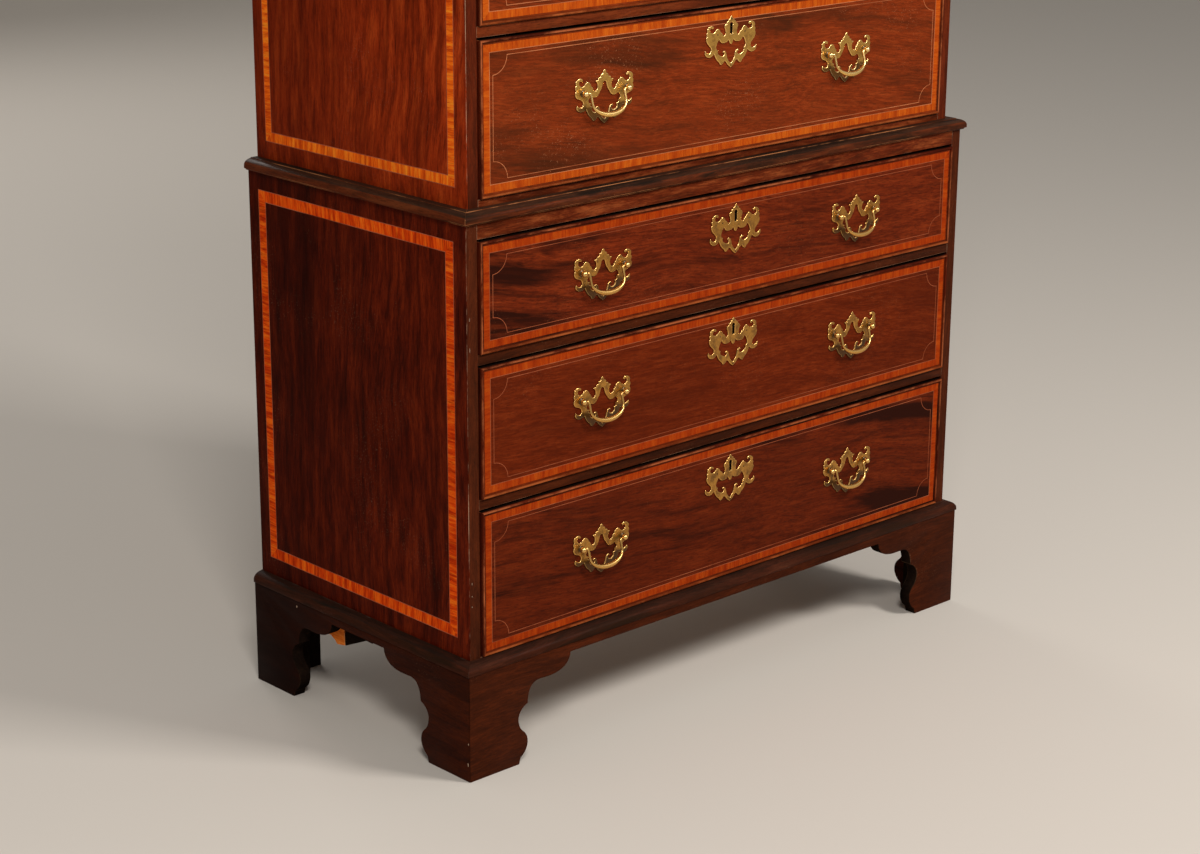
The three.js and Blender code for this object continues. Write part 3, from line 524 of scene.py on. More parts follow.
# A darker copy of the satinwood for the lower drawers' banding: painted shade.
SHADED_SATINWOOD = SATINWOOD.like(
    "shaded_satinwood", ground=(0.315, 0.033, 0.0025), streak=(0.15, 0.0105, 0.0015),
    light=(0.45, 0.083, 0.006),
)
SIDE_SATINWOOD = SATINWOOD.like(
    "side_satinwood", ground=(0.8, 0.072, 0.004), streak=(0.3, 0.013, 0.0018), light=(0.94, 0.21, 0.013),
    streak_scale=7.0, streak_amount=0.7, fibre_scale=0.42, fibre_amount=0.7, gloss=0.005,
)
GOLDEN_SATINWOOD = SIDE_SATINWOOD.like(
    "golden_satinwood", ground=(0.96, 0.15, 0.0075), streak=(0.45, 0.036, 0.0036),
    light=(0.98, 0.34, 0.024),
)
# A darker boxwood for the lower drawers' strings: painted shade.
SHADED_BOXWOOD = Timber(
    "shaded_boxwood", (0.34, 0.085, 0.034), (0.18, 0.036, 0.013), (0.5, 0.17, 0.07), (0.5, 0.25, 0.12),
)
BOXWOOD = Timber(
    "boxwood_string", (0.5, 0.165, 0.065), (0.24, 0.055, 0.018), (0.7, 0.3, 0.13), (0.7, 0.4, 0.2),
    streak_scale=3.0, streak_amount=0.6, pore_amount=0.1, cloud_depth=0.2,
)
SIDE_STRING = BOXWOOD.like(
    "side_string", ground=(0.42, 0.1, 0.045), streak=(0.12, 0.02, 0.009), light=(0.55, 0.19, 0.09),
)
OAK_LINING = Timber(
    "oak_lining", (0.36, 0.22, 0.105), (0.19, 0.105, 0.05), (0.47, 0.31, 0.165), (0.5, 0.35, 0.2),
    streak_scale=2.4, streak_amount=0.5, roughness=0.62, bump=0.2,
)
# Near-black deal for the glue blocks, the rear brackets, the torn block and the sawn edges of the feet:
# painted shade under and behind the plinth.
SHADED_DEAL = EDGE_SHADE_AND_GRIME.like(
    "shaded_deal", ground=(0.011, 0.006, 0.004), light=(0.024, 0.013, 0.008), worn=(0.05, 0.028, 0.016),
)
TORN_WOOD = Timber(
    "torn_wood", (0.82, 0.2, 0.025), (0.4, 0.06, 0.01), (0.9, 0.4, 0.09), (0.8, 0.5, 0.25), roughness=0.7,
    gloss=0.0, bump=0.3,
)
PALE_CHIP = Timber(
    "pale_chip", (0.5, 0.36, 0.26), (0.25, 0.15, 0.09), (0.62, 0.5, 0.4), (0.6, 0.5, 0.4), roughness=0.7,
    gloss=0.0,
)
DEAL = Timber(
    "deal", (0.31, 0.165, 0.062), (0.12, 0.055, 0.025), (0.44, 0.26, 0.11), (0.42, 0.27, 0.14),
    streak_scale=2.0, streak_amount=0.7, roughness=0.72, bump=0.3,
)


@dataclass(frozen=True)
class Metal:
    """A cast or turned metal, spotted with tarnish.

    The value the mesh holds for rubbing, which on the brasses also holds painted highlight and shade set by
    which way each face looks, takes the tarnish off where it is above zero and adds to it where it is
    below.
    Where a piece is given two levels, it darkens from the upper one down to the lower one: a painted shadow
    of its bail.
    """

    name: str
    bright: Colour
    tarnish: Colour
    # The pale colour of faces that polishing has brightened, which also paints the highlight on faces that
    # look towards the lamps.
    rubbed: Colour = (0.96, 0.7, 0.32)
    rubbed_and_lit_amount: float = 0.75
    roughness: float = 0.34
    lacquer: float = 0.25
    lacquer_roughness: float = 0.2
    tarnish_amount: float = 0.4
    # Levels on the piece between which it darkens, a painted shadow of the bail.
    bail_shadowed_top: float = 0.0
    bail_shadowed_low: float = 0.0
    polish: float = 0.9
    grit: float = 0.25
    bright_sheen: float = 0.08
    tarnish_dullness: float = 0.3
    bump: float = 0.08
    relief: float = 0.3 * MM

    def material(self) -> Material:
        """Makes or finds the material.

        Returns:
            The material.
        """
        if self.name in bpy.data.materials:
            return bpy.data.materials[self.name]
        material, graph = fresh_material(self.name)
        own = graph.own_spot()
        place = graph.shift(own, graph.own_lot())
        cloud = graph.noise(place, scale=90.0, detail=4.0, roughness=0.65)
        grit = graph.noise(place, scale=900.0, detail=3.0, roughness=0.7)
        # The value for rubbing, which on the plates, posts and bails also holds painted highlight and
        # shade.
        worn = graph.attribute(WEAR_AND_LIGHT)
        spots = graph.times(graph.span(cloud, 0.36, 0.7), self.tarnish_amount)
        dull = graph.less(spots, graph.times(worn, self.polish))
        # Painted shadow of the bail: darker from the upper level down to the lower one.
        if self.bail_shadowed_low < self.bail_shadowed_top:
            height = graph.add("ShaderNodeSeparateXYZ", {"Vector": own}).outputs["Z"]
            painted_shade = graph.span(height, self.bail_shadowed_top, self.bail_shadowed_low)
            dull = graph.plus(dull, painted_shade)
        dull = graph.span(dull, 0.0, 1.0)
        colour = graph.blend(dull, opaque(self.bright), opaque(self.tarnish))
        # Above zero the colour goes pale: rubbing, and painted highlight.
        rubbed = graph.span(worn, 0.0, 1.0, to_high=self.rubbed_and_lit_amount)
        colour = graph.blend(rubbed, colour, opaque(self.rubbed))
        low = self.roughness - self.bright_sheen
        high = self.roughness + self.tarnish_dullness
        gritty = graph.plus(dull, graph.times(grit, self.grit))
        sheen = graph.span(gritty, 0.0, 1.0, to_low=low, to_high=high)
        bumps = {"Height": cloud, "Strength": self.bump, "Distance": self.relief}
        relief = graph.add("ShaderNodeBump", bumps)
        feeds = {
            "Base Color": colour, "Metallic": 1.0, "Roughness": sheen, "Coat Weight": self.lacquer,
            "Coat Roughness": self.lacquer_roughness, "Normal": relief.outputs[0],
        }
        shader = graph.add("ShaderNodeBsdfPrincipled", feeds)
        graph.add("ShaderNodeOutputMaterial", {"Surface": shader.outputs[0]})
        return material


OLD_BRASS = Metal("old_brass", bright=(0.81, 0.45, 0.092), tarnish=(0.15, 0.065, 0.014))
# A darker copy of the brass for the lower drawers: painted dimmer reflections.
SHADED_BRASS = Metal(
    "shaded_brass", bright=(0.57, 0.265, 0.04), tarnish=(0.1, 0.04, 0.008), rubbed=(0.86, 0.55, 0.19)
)
# Near-black brass for the posts' collars and necks and for the small plate pins: tarnish, and painted shade
# round the foot of each post.
SHADED_GRIMY_BRASS = Metal("shaded_grimy_brass", bright=(0.1, 0.05, 0.016), tarnish=(0.025, 0.014, 0.006), roughness=0.5)
LOCK_IRON = Metal("lock_iron", bright=(0.2, 0.18, 0.16), tarnish=(0.05, 0.035, 0.025), roughness=0.45)


# Mesh helpers


def front_of(face: float) -> Place:
    """Returns the placing of (across, up, proud) on a plane that faces -Y."""
    return lambda across, up, proud: (across, face - proud, up)


def side_of(face: float, hand: int) -> Place:
    """Returns the placing of (back, up, proud) on a plane that faces -X for hand -1 and +X for hand 1."""
    return lambda back, up, proud: (face + hand * proud, back, up)


def circle(sides: int) -> list[Flat]:
    """Returns the cosine and the sine of evenly spaced angles, all the way round."""
    angles = [2 * pi * side / sides for side in range(sides)]
    return [(cos(angle), sin(angle)) for angle in angles]


def bridge(bm: Work, here: Ring, there: Ring) -> Faces:
    """Joins two closed rings of vertices.

    Args:
        bm: The mesh to add to.
        here: The first ring.
        there: The second ring, with as many vertices.

    Returns:
        The faces between them, in the rings' order.
    """
    made = []
    for index in range(len(here)):
        after = (index + 1) % len(here)
        made.append(bm.faces.new((here[index], here[after], there[after], there[index])))
    return made


def prism(bm: Work, outline: Sequence[Flat], place: Place, low: float, high: float) -> None:
    """Adds a closed prism of a flat outline between two levels of a placing."""
    bottom = [bm.verts.new(place(across, up, low)) for across, up in outline]
    top = [bm.verts.new(place(across, up, high)) for across, up in outline]
    bm.faces.new(bottom)
    bm.faces.new(reversed(top))
    bridge(bm, bottom, top)


def block(bm: Work, low: Spot, high: Spot) -> None:
    """Adds a box between two corners."""
    outline = [(low[0], low[2]), (high[0], low[2]), (high[0], high[2]), (low[0], high[2])]
    prism(bm, outline, lambda across, up, back: (across, back, up), low[1], high[1])


def band(bm: Work, outer: Sequence[Flat], inner: Sequence[Flat], place: Place, proud: float) -> Faces:
    """Adds a flat ring between two like outlines, standing a little proud of its plane.

    Args:
        bm: The mesh to add to.
        outer: The outer outline.
        inner: The inner outline, with as many points.
        place: The placing on the plane.
        proud: How far the ring stands out.

    Returns:
        The ring's top faces, in the outlines' order.
    """
    rows = []
    for outline, level in ((outer, 0.0), (outer, proud), (inner, proud), (inner, 0.0)):
        rows.append([bm.verts.new(place(across, up, level)) for across, up in outline])
    walls = [bridge(bm, here, there) for here, there in zip(rows, [*rows[1:], rows[0]])]
    return walls[1]


def loft(rings: Sequence[Sequence[Spot]]) -> Work:
    """Returns new mesh work: rings of as many points, skinned together and capped at both ends."""
    bm = bmesh.new()
    rows = [[bm.verts.new(spot) for spot in ring] for ring in rings]
    for here, there in zip(rows, rows[1:]):
        bridge(bm, here, there)
    bm.faces.new(reversed(rows[0]))
    bm.faces.new(rows[-1])
    turn_outward(bm)
    return bm


def turn_outward(bm: Work) -> None:
    """Turns all the faces of closed mesh work outward."""
    bmesh.ops.recalc_face_normals(bm, faces=bm.faces)


def soften(bm: Work, width: float, segments: int = 2, least: float = SHARP_ANGLE) -> None:
    """Rounds the edges sharper than an angle and marks their new faces as worn.

    Args:
        bm: The mesh to change.
        width: The width of the rounding.
        segments: Its number of faces.
        least: The least angle between two faces, in degrees, that is rounded.
    """
    wear = bm.faces.layers.float.get(WEAR_AND_LIGHT) or bm.faces.layers.float.new(WEAR_AND_LIGHT)
    turn_outward(bm)
    sharp = [e for e in bm.edges if len(e.link_faces) == 2 and e.calc_face_angle(0.0) > radians(least)]
    made = bmesh.ops.bevel(
        bm, geom=sharp, offset=width, segments=segments, profile=0.5, affect="EDGES", clamp_overlap=True
    )
    for face in made["faces"]:
        face[wear] = 1.0


def softened_block(low: Spot, high: Spot, width: float, segments: int = 2) -> Work:
    """Returns new mesh work: a box between two corners, with its edges rounded to a width."""
    bm = bmesh.new()
    block(bm, low, high)
    soften(bm, width, segments)
    return bm


def disc(bm: Work, spot: Spot, radius: float, height: float, sides: int) -> None:
    """Adds a low turned head about a spot, such as a nail's, whose narrower end faces +Y."""
    matrix = Matrix.Translation(spot) @ Matrix.Rotation(-pi / 2, 4, "X")
    ends = {"radius1": radius, "radius2": radius * HEAD_TOP_SHARE, "depth": height}
    bmesh.ops.create_cone(bm, cap_ends=True, segments=sides, matrix=matrix, **ends)


def mesh_of(name: str, bm: Work) -> Mesh:
    """Returns a new mesh made of the mesh work, which is freed."""
    mesh = bpy.data.meshes.new(name)
    bm.to_mesh(mesh)
    bm.free()
    return mesh


def link(name: str, data: Any) -> Piece:
    """Returns a new object of the data, linked to the scene."""
    made = bpy.data.objects.new(name, data)
    bpy.context.scene.collection.objects.link(made)
    return made


_lots = iter(range(1, 10_000))


def next_lot() -> float:
    """Returns the lot of the next piece, which sets its timber's figure apart."""
    return float(next(_lots)) * LOT_STEP


def finish_piece(name: str, bm: Work, materials: Sequence[Material], body: str) -> Piece:
    """Turns mesh work, which is freed, into a piece that rides on a body, and returns the object."""
    turn_outward(bm)
    return place_mesh(name, mesh_of(name, bm), materials, body)


def place_mesh(
    name: str, mesh: Mesh, materials: Sequence[Material], body: str,
    smooth: float = SMOOTH_ANGLE, spot: Spot = (0.0, 0.0, 0.0),
) -> Piece:
    """Links a mesh as a piece that rides on a body.

    Args:
        name: The piece's name.
        mesh: Its mesh.
        materials: Its material slots, added where the mesh has none.
        body: The body that carries it.
        smooth: The greatest angle, in degrees, that shades smoothly.
        spot: Where the mesh's own origin goes.

    Returns:
        The object.
    """
    if not mesh.materials:
        for material in materials:
            mesh.materials.append(material)
        for face in mesh.polygons:
            face.use_smooth = True
        mesh.set_sharp_from_angle(angle=radians(smooth))
    piece = link(name, mesh)
    piece[LOT] = next_lot()
    piece.location = spot
    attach(piece, body)
    return piece


def rectangle(edges: Edges, inset: float) -> list[Flat]:
    """Returns the corners of the rectangle between the four edges, drawn in by the inset."""
    left, right, low, high = edges
    return [
        (left + inset, low + inset),
        (right - inset, low + inset),
        (right - inset, high - inset),
        (left + inset, high - inset),
    ]


def hollow_cornered(edges: Edges, inset: float, radius: float, steps: int = 10) -> list[Flat]:
    """Returns a rectangle with hollow quadrants for corners.

    Args:
        edges: The left, right, low and high edges.
        inset: How far the line lies inside those edges.
        radius: The quadrants' radius about the edges' corners.
        steps: The points of each quadrant, less one.

    Returns:
        The points, counter-clockwise.
    """
    left, right, low, high = edges
    reach = radius + inset
    trim = asin(inset / reach)
    corners = [(left, low, 90), (right, low, 180), (right, high, 270), (left, high, 360)]
    points = []
    for x, z, turn in corners:
        for step in range(steps + 1):
            sweep = trim + (pi / 2 - 2 * trim) * step / steps
            angle = radians(turn) - sweep
            points.append((x + reach * cos(angle), z + reach * sin(angle)))
    return points


def flat_ring(edges: Edges, start: float, end: float, place: Place, proud: float) -> Work:
    """Returns new mesh work: a flat ring between two insets of a rectangle, with its uprights on slot 1."""
    bm = bmesh.new()
    tops = band(bm, rectangle(edges, start), rectangle(edges, end), place, proud)
    tops[1].material_index = tops[3].material_index = 1
    return bm


# Case


@dataclass
class CaseBoards:
    """The boards of both cases that keep their solids, and the rails with the dustboards behind them."""

    arris: float = 1.1 * MM
    board_arris: float = 0.6 * MM
    rail_depth: float = 70 * MM
    top_rail_depth: float = 22 * MM
    dustboard: float = 10 * MM
    case_board: float = 14 * MM
    tongue: float = 7 * MM
    lip: float = 0.5 * MM
    lip_inset: float = 0.7 * MM
    seam: float = 0.2 * MM
    weld: float = 0.01 * MM
    flat_angle: float = 1.0

    def dress(self, node: str, timber: Timber, grain: Grain, arris: float) -> None:
        """Softens a kept solid with modifiers and gives it its timber.

        Args:
            node: The solid's node.
            timber: Its wood.
            grain: The direction of its grain.
            arris: The width of its softened edges.
        """
        solid = bpy.data.objects[node]
        solid[LOT] = next_lot()
        solid.data.materials.clear()
        solid.data.materials.append(timber.material(grain))
        solid.data.materials.append(timber.material(grain, arris=True))
        weld = solid.modifiers.new("weld", "WELD")
        weld.merge_threshold = self.weld
        flat = solid.modifiers.new("flat", "DECIMATE")
        flat.decimate_type = "DISSOLVE"
        flat.angle_limit = radians(self.flat_angle)
        rounding = solid.modifiers.new("rounding", "BEVEL")
        rounding.width = arris
        rounding.segments = 2
        rounding.limit_method = "ANGLE"
        rounding.angle_limit = radians(SHARP_ANGLE)
        rounding.material = 1
        rounding.harden_normals = True

    def cross_piece(self, node: str, body: str, rail_depth: float, board: float, timber: Timber) -> None:
        """Builds the rail and the deal board of one cross piece.

        Args:
            node: The solid it stands for.
            body: The body that carries it.
            rail_depth: The rail's depth from the front.
            board: The thickness of the board, which is level with the rail's upper face.
            timber: The rail's wood.
        """
        low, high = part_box(node)
        rail_low = (low[0] + self.tongue, low[1], low[2])
        rail_high = (high[0] - self.tongue, low[1] + rail_depth, high[2])
        rail = softened_block(rail_low, rail_high, self.board_arris)
        rail_piece = finish_piece(f"{node}_rail", rail, [timber.material(Grain.X)], body)
        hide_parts(node)
        panel_low = (low[0], rail_high[1] + self.seam, high[2] - board)
        panel = softened_block(panel_low, (high[0], high[1], high[2]), self.board_arris)
        panel_piece = finish_piece(f"{node}_board", panel, [DEAL.material(Grain.X)], body)

    def lipping(self, case: str, hand: str) -> None:
        """Builds the thin facing on the front edge of one side."""
        low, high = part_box(f"{case}_{hand}_side")
        left = low[0] + (self.lip_inset if hand == "left" else 0.0)
        right = high[0] - (self.lip_inset if hand == "right" else 0.0)
        facing_low = (left, low[1] - self.lip, low[2])
        facing = softened_block(facing_low, (right, low[1], high[2]), self.lip / 2, segments=1)
        timber = STILE_MAHOGANY if case == "lower" else UPPER_STILE_MAHOGANY
        piece = finish_piece(f"{case}_{hand}_lipping", facing, [timber.material(Grain.Z)], f"{case}_case")

    def build(self) -> None:
        """Dresses the sides, the partition and the glue blocks, and builds the cross pieces."""
        for case, side, divider, dividers in (
            ("lower", LOWER_SIDE_MAHOGANY, RAIL_MAHOGANY, 2),
            ("upper", UPPER_SIDE_MAHOGANY, UPPER_RAIL_MAHOGANY, 3),
        ):
            body = f"{case}_case"
            for hand in ("left", "right"):
                self.lipping(case, hand)
                self.dress(f"{case}_{hand}_side", side, Grain.Z, self.arris)
            self.cross_piece(f"{case}_bottom", body, self.rail_depth, self.case_board, TOP_RAIL_MAHOGANY)
            self.cross_piece(f"{case}_top", body, self.top_rail_depth, self.case_board, TOP_RAIL_MAHOGANY)
            for number in range(1, dividers + 1):
                self.cross_piece(f"{case}_divider_{number}", body, self.rail_depth, self.dustboard, divider)
        self.dress("short_drawer_partition", UPPER_RAIL_MAHOGANY, Grain.Z, self.board_arris)
        # The glue blocks take the near-black deal, a painted shade.
        for end in ("front", "rear"):
            for hand in ("left", "right"):
                self.dress(f"{end}_block_{hand}", SHADED_DEAL, Grain.Z, self.board_arris)
        log.info("case boards: 4 sides, 9 cross pieces, a partition and 4 glue blocks")


@dataclass
class BackBoards:
    """The upright boards nailed into the rebates of a case's back."""

    case: str
    count: int = 6
    gap: float = 1.0 * MM
    arris: float = 0.7 * MM
    nail_radius: float = 2.6 * MM
    nail_proud: float = 0.4 * MM
    nail_inset: float = 22 * MM
    nail_sides: int = 10

    def build(self) -> None:
        """Builds the boards and their nails."""
        node = f"{self.case}_back"
        body = f"{self.case}_case"
        low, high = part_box(node)
        width = (high[0] - low[0]) / self.count
        for number in range(self.count):
            left = low[0] + number * width
            right = left + width
            near = left + (self.gap / 2 if number else 0.0)
            far = right - (self.gap / 2 if number < self.count - 1 else 0.0)
            face = high[1] - self.nail_proud
            board = softened_block((near, low[1], low[2]), (far, face, high[2]), self.arris)
            piece = finish_piece(f"{node}_board_{number + 1}", board, [DEAL.material(Grain.Z)], body)
            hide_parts(node)
            self.nails(f"{node}_nails_{number + 1}", body, (left, face, low[2]), (right, face, high[2]))
        log.info("%s: %d boards", node, self.count)

    def nails(self, name: str, body: str, low: Spot, high: Spot) -> None:
        """Builds the nail heads of one board, two at each end, between two corners of its outer face."""
        heads = bmesh.new()
        for x in (low[0] + self.nail_inset, high[0] - self.nail_inset):
            for z in (low[2] + self.nail_inset / 2, high[2] - self.nail_inset / 2):
                disc(heads, (x, low[1], z), self.nail_radius, self.nail_proud * 2, self.nail_sides)
        piece = finish_piece(name, heads, [LOCK_IRON.material()], body)


@dataclass(frozen=True)
class Border:
    """Where the border of a case's side lies, from the side's edges, and of which wood it is."""

    front: float
    back: float
    low: float
    high: float
    width: float
    banding: Timber


SIDE_BORDERS = {
    "lower": Border(28 * MM, 25 * MM, 46.4 * MM, 33.6 * MM, width=19 * MM, banding=SIDE_SATINWOOD),
    "upper": Border(26.3 * MM, 24 * MM, 39.3 * MM, 99 * MM, width=16.5 * MM, banding=GOLDEN_SATINWOOD),
}


@dataclass
class SideInlay:
    """The crossbanded and strung border let into the side of a case."""

    case: str
    hand: int
    string: float = 1.1 * MM
    proud: float = 0.12 * MM
    string_proud: float = 0.144 * MM

    def build(self) -> None:
        """Builds the band and the string on each side of it."""
        label = HAND_NAMES[self.hand]
        body = f"{self.case}_case"
        border = SIDE_BORDERS[self.case]
        banding = border.banding
        low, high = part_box(f"{self.case}_{label}_side")
        place = side_of(low[0] if self.hand < 0 else high[0], self.hand)
        edges = (low[1] + border.front, high[1] - border.back, low[2] + border.low, high[2] - border.high)
        inner = border.width - self.string
        rings = [
            ("outer_string", 0.0, self.string, self.string_proud, SIDE_STRING),
            ("crossband", self.string, inner, self.proud, banding),
            ("inner_string", inner, border.width, self.string_proud, SIDE_STRING),
        ]
        for part, start, end, proud, timber in rings:
            bm = flat_ring(edges, start, end, place, proud)
            upright, level = (Grain.Y, Grain.Z) if timber is banding else (Grain.Z, Grain.Y)
            materials = [timber.material(level), timber.material(upright)]
            piece = finish_piece(f"{self.case}_{label}_{part}", bm, materials, body)
        log.info("%s case, %s side: crossband and strings", self.case, label)


# Mouldings and feet


def arc(centre: Flat, radius: Flat, start: float, end: float, steps: int) -> list[Flat]:
    """Returns the points of an arc between two angles in degrees, with its radii across and up."""
    angles = [radians(start + (end - start) * step / steps) for step in range(steps + 1)]
    return [(centre[0] + radius[0] * cos(a), centre[1] + radius[1] * sin(a)) for a in angles]


@dataclass
class Moulding:
    """A moulding in three mitred lengths, round the left side, the front and the right side of a case."""

    node: str
    body: str
    half_width: float
    front: float
    back: float
    base: float
    profile: list[Flat]
    timber: Timber = MOULDING_MAHOGANY
    ledge_timber: Timber = LEDGE_MAHOGANY
    ledge_slope: float = 0.68
    mitre_gap: float = 0.12 * MM
    arris: float = 0.8 * MM
    sharp: float = 50.0

    def placing(self, side: int, mitred: bool, gap_across: float = 0.0, gap_back: float = 0.0) -> Section:
        """Returns the placing of the section at one end of a length, in a mitre or square at the back."""

        def place(out: float, up: float) -> Spot:
            """Places a point of the section."""
            depth = self.front - out + gap_back if mitred else self.back
            return (side * (self.half_width + out - gap_across), depth, self.base + up)

        return place

    def build(self) -> None:
        """Builds the three lengths."""
        gap = self.mitre_gap
        self.length("left", self.placing(-1, False), self.placing(-1, True, gap_back=gap), Grain.Y)
        self.length("front", self.placing(-1, True, gap), self.placing(1, True, gap), Grain.X)
        self.length("right", self.placing(1, True, gap_back=gap), self.placing(1, False), Grain.Y)
        log.info("%s: three mitred lengths", self.node)

    def length(self, part: str, start: Section, end: Section, grain: Grain) -> None:
        """Builds one length between two placings of the section."""
        bm = loft([[section(out, up) for out, up in self.profile] for section in (start, end)])
        soften(bm, self.arris, least=self.sharp)
        # Faces that look up take the darker ledge timber, a painted shade.
        for face in bm.faces:
            face.material_index = 1 if face.normal.z > self.ledge_slope else 0
        timbers = [self.timber.material(grain), self.ledge_timber.material(grain)]
        piece = finish_piece(f"{self.node}_{part}", bm, timbers, self.body)
        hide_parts(self.node)


def waist_profile(setback: float, projection: float, rise: float, lip: float) -> list[Flat]:
    """Returns the section of the waist moulding: a flat ledge, an ovolo, a nose and an undercut.

    Args:
        setback: How far the upper case stands back, less the fit.
        projection: How far the nose stands out.
        rise: The ledge's height over the lower case.
        lip: How far the moulding hangs below the lower case's top.

    Returns:
        The section, with out and up measured from the lower case's top front edge.
    """
    ledge = 13 * MM
    quirk = 1.2 * MM
    nose_low = -3.2 * MM
    ovolo_low = 1.6 * MM
    undercut_depth = 3.4 * MM
    start = ledge - setback
    ovolo = arc((start, ovolo_low), (projection - start, rise - quirk - ovolo_low), 90, 0, 8)
    undercut = arc((projection, -lip), (undercut_depth, lip + nose_low), 90, 180, 5)
    top = [(-setback, FIT), (-setback, rise), (start, rise), *ovolo]
    return [*top, (projection, nose_low), *undercut[1:], (FIT, -lip), (FIT, FIT)]


def base_profile(projection: float, height: float) -> list[Flat]:
    """Returns the section of the base moulding: a quirk, an ovolo and a fillet."""
    quirk = 2.0 * MM
    fillet = 4.2 * MM
    step = 0.6 * MM
    ovolo = arc((quirk, fillet), (projection - quirk, height - fillet - step), 90, 0, 9)
    return [(FIT, FIT), (FIT, height), (quirk, height), *ovolo, (projection, FIT)]


CORNICE_HEIGHT_SHARES = {"cove_top": 0.42, "step": 0.5, "cyma_top": 0.84}
CORNICE_OUT_SHARES = {
    "bead_start": 0.1, "bead": 0.04, "cove_start": 0.12,
    "cove_end": 0.5, "cyma_start": 0.56, "cyma_end": 0.93,
}


def cornice_profile(projection: float, height: float) -> list[Flat]:
    """Returns the section of the cornice: a bead, a cove, a step, a cyma and a fillet."""
    bead = 6 * MM
    up = {name: share * height for name, share in CORNICE_HEIGHT_SHARES.items()}
    out = {name: share * projection for name, share in CORNICE_OUT_SHARES.items()}
    start, end = out["cyma_start"], out["cyma_end"]
    turn = (start + end) / 2
    middle = (up["step"] + up["cyma_top"]) / 2
    cove = (out["cove_end"] - out["cove_start"], up["cove_top"] - bead)
    return [
        (FIT, 0.0),
        *arc((out["bead_start"], bead / 2), (out["bead"], bead / 2), -90, 90, 5),
        *arc((out["cove_end"], bead), cove, 180, 90, 8),
        (start, up["cove_top"]),
        (start, up["step"]),
        *arc((start, middle), (turn - start, middle - up["step"]), -90, 0, 6)[1:],
        *arc((end, middle), (end - turn, up["cyma_top"] - middle), 180, 90, 6)[1:],
        (projection, up["cyma_top"]),
        (projection, height),
        (FIT, height),
    ]


FOOT_CURVE_SHARES = (
    ((0.985, 0.835), (0.8, 0.825)),
    ((0.745, 0.824), (0.69, 0.828)),
    ((0.575, 0.83), (0.568, 0.618)),
    ((0.49, 0.58), (0.478, 0.49)),
    ((0.476, 0.4), (0.52, 0.344)),
    ((0.568, 0.293), (0.568, 0.223)),
    ((0.568, 0.127), (0.495, 0.064)),
)
TORN_OUTLINE = ((122, 150), (124, 121), (102, 125), (90, 119), (85, 113.5), (64, 117), (66, 150))
TORN_BLOCK_OUTLINE = ((64, 150), (63.7, 117), (8.7, 142), (-7, 141.6), (-7, 156))
PLINTH_CHIPS = ((-265.6, 62.7, 3.0, 4.0), (-264.4, 28.6, 3.0, 8.0), (160.2, 161.8, 3.0, 5.0))
CASE_CHIPS = (
    (-258, 315, 1.5, 5), (-258, 295, 1.4, 3), (-258, 278, 1.4, 3), (-258, 721, 1.4, 6), (-258, 675, 1.6, 8),
)


@dataclass
class Chips:
    """Small pale chips on a side of the lower case, given as (back, up, width, height) in millimetres."""

    name: str
    place: Place
    spots: Sequence[tuple[float, float, float, float]]
    proud: float = 0.15 * MM
    corners: int = 7
    unevenness: float = 0.35
    corner_turn: float = 2.3
    chip_turn: float = 1.7

    def build(self) -> None:
        """Builds the chips as one piece."""
        bm = bmesh.new()
        for number, (back, up, width, height) in enumerate(self.spots):
            outline = []
            for corner, (x, z) in enumerate(circle(self.corners)):
                dent = (1 + sin(corner * self.corner_turn + number * self.chip_turn)) / 2
                reach = (1 - self.unevenness * dent) / 2
                outline.append(((back + width * reach * x) * MM, (up + height * reach * z) * MM))
            prism(bm, outline, self.place, 0.0, self.proud)
        piece = finish_piece(self.name, bm, [PALE_CHIP.material(Grain.Y)], "lower_case")


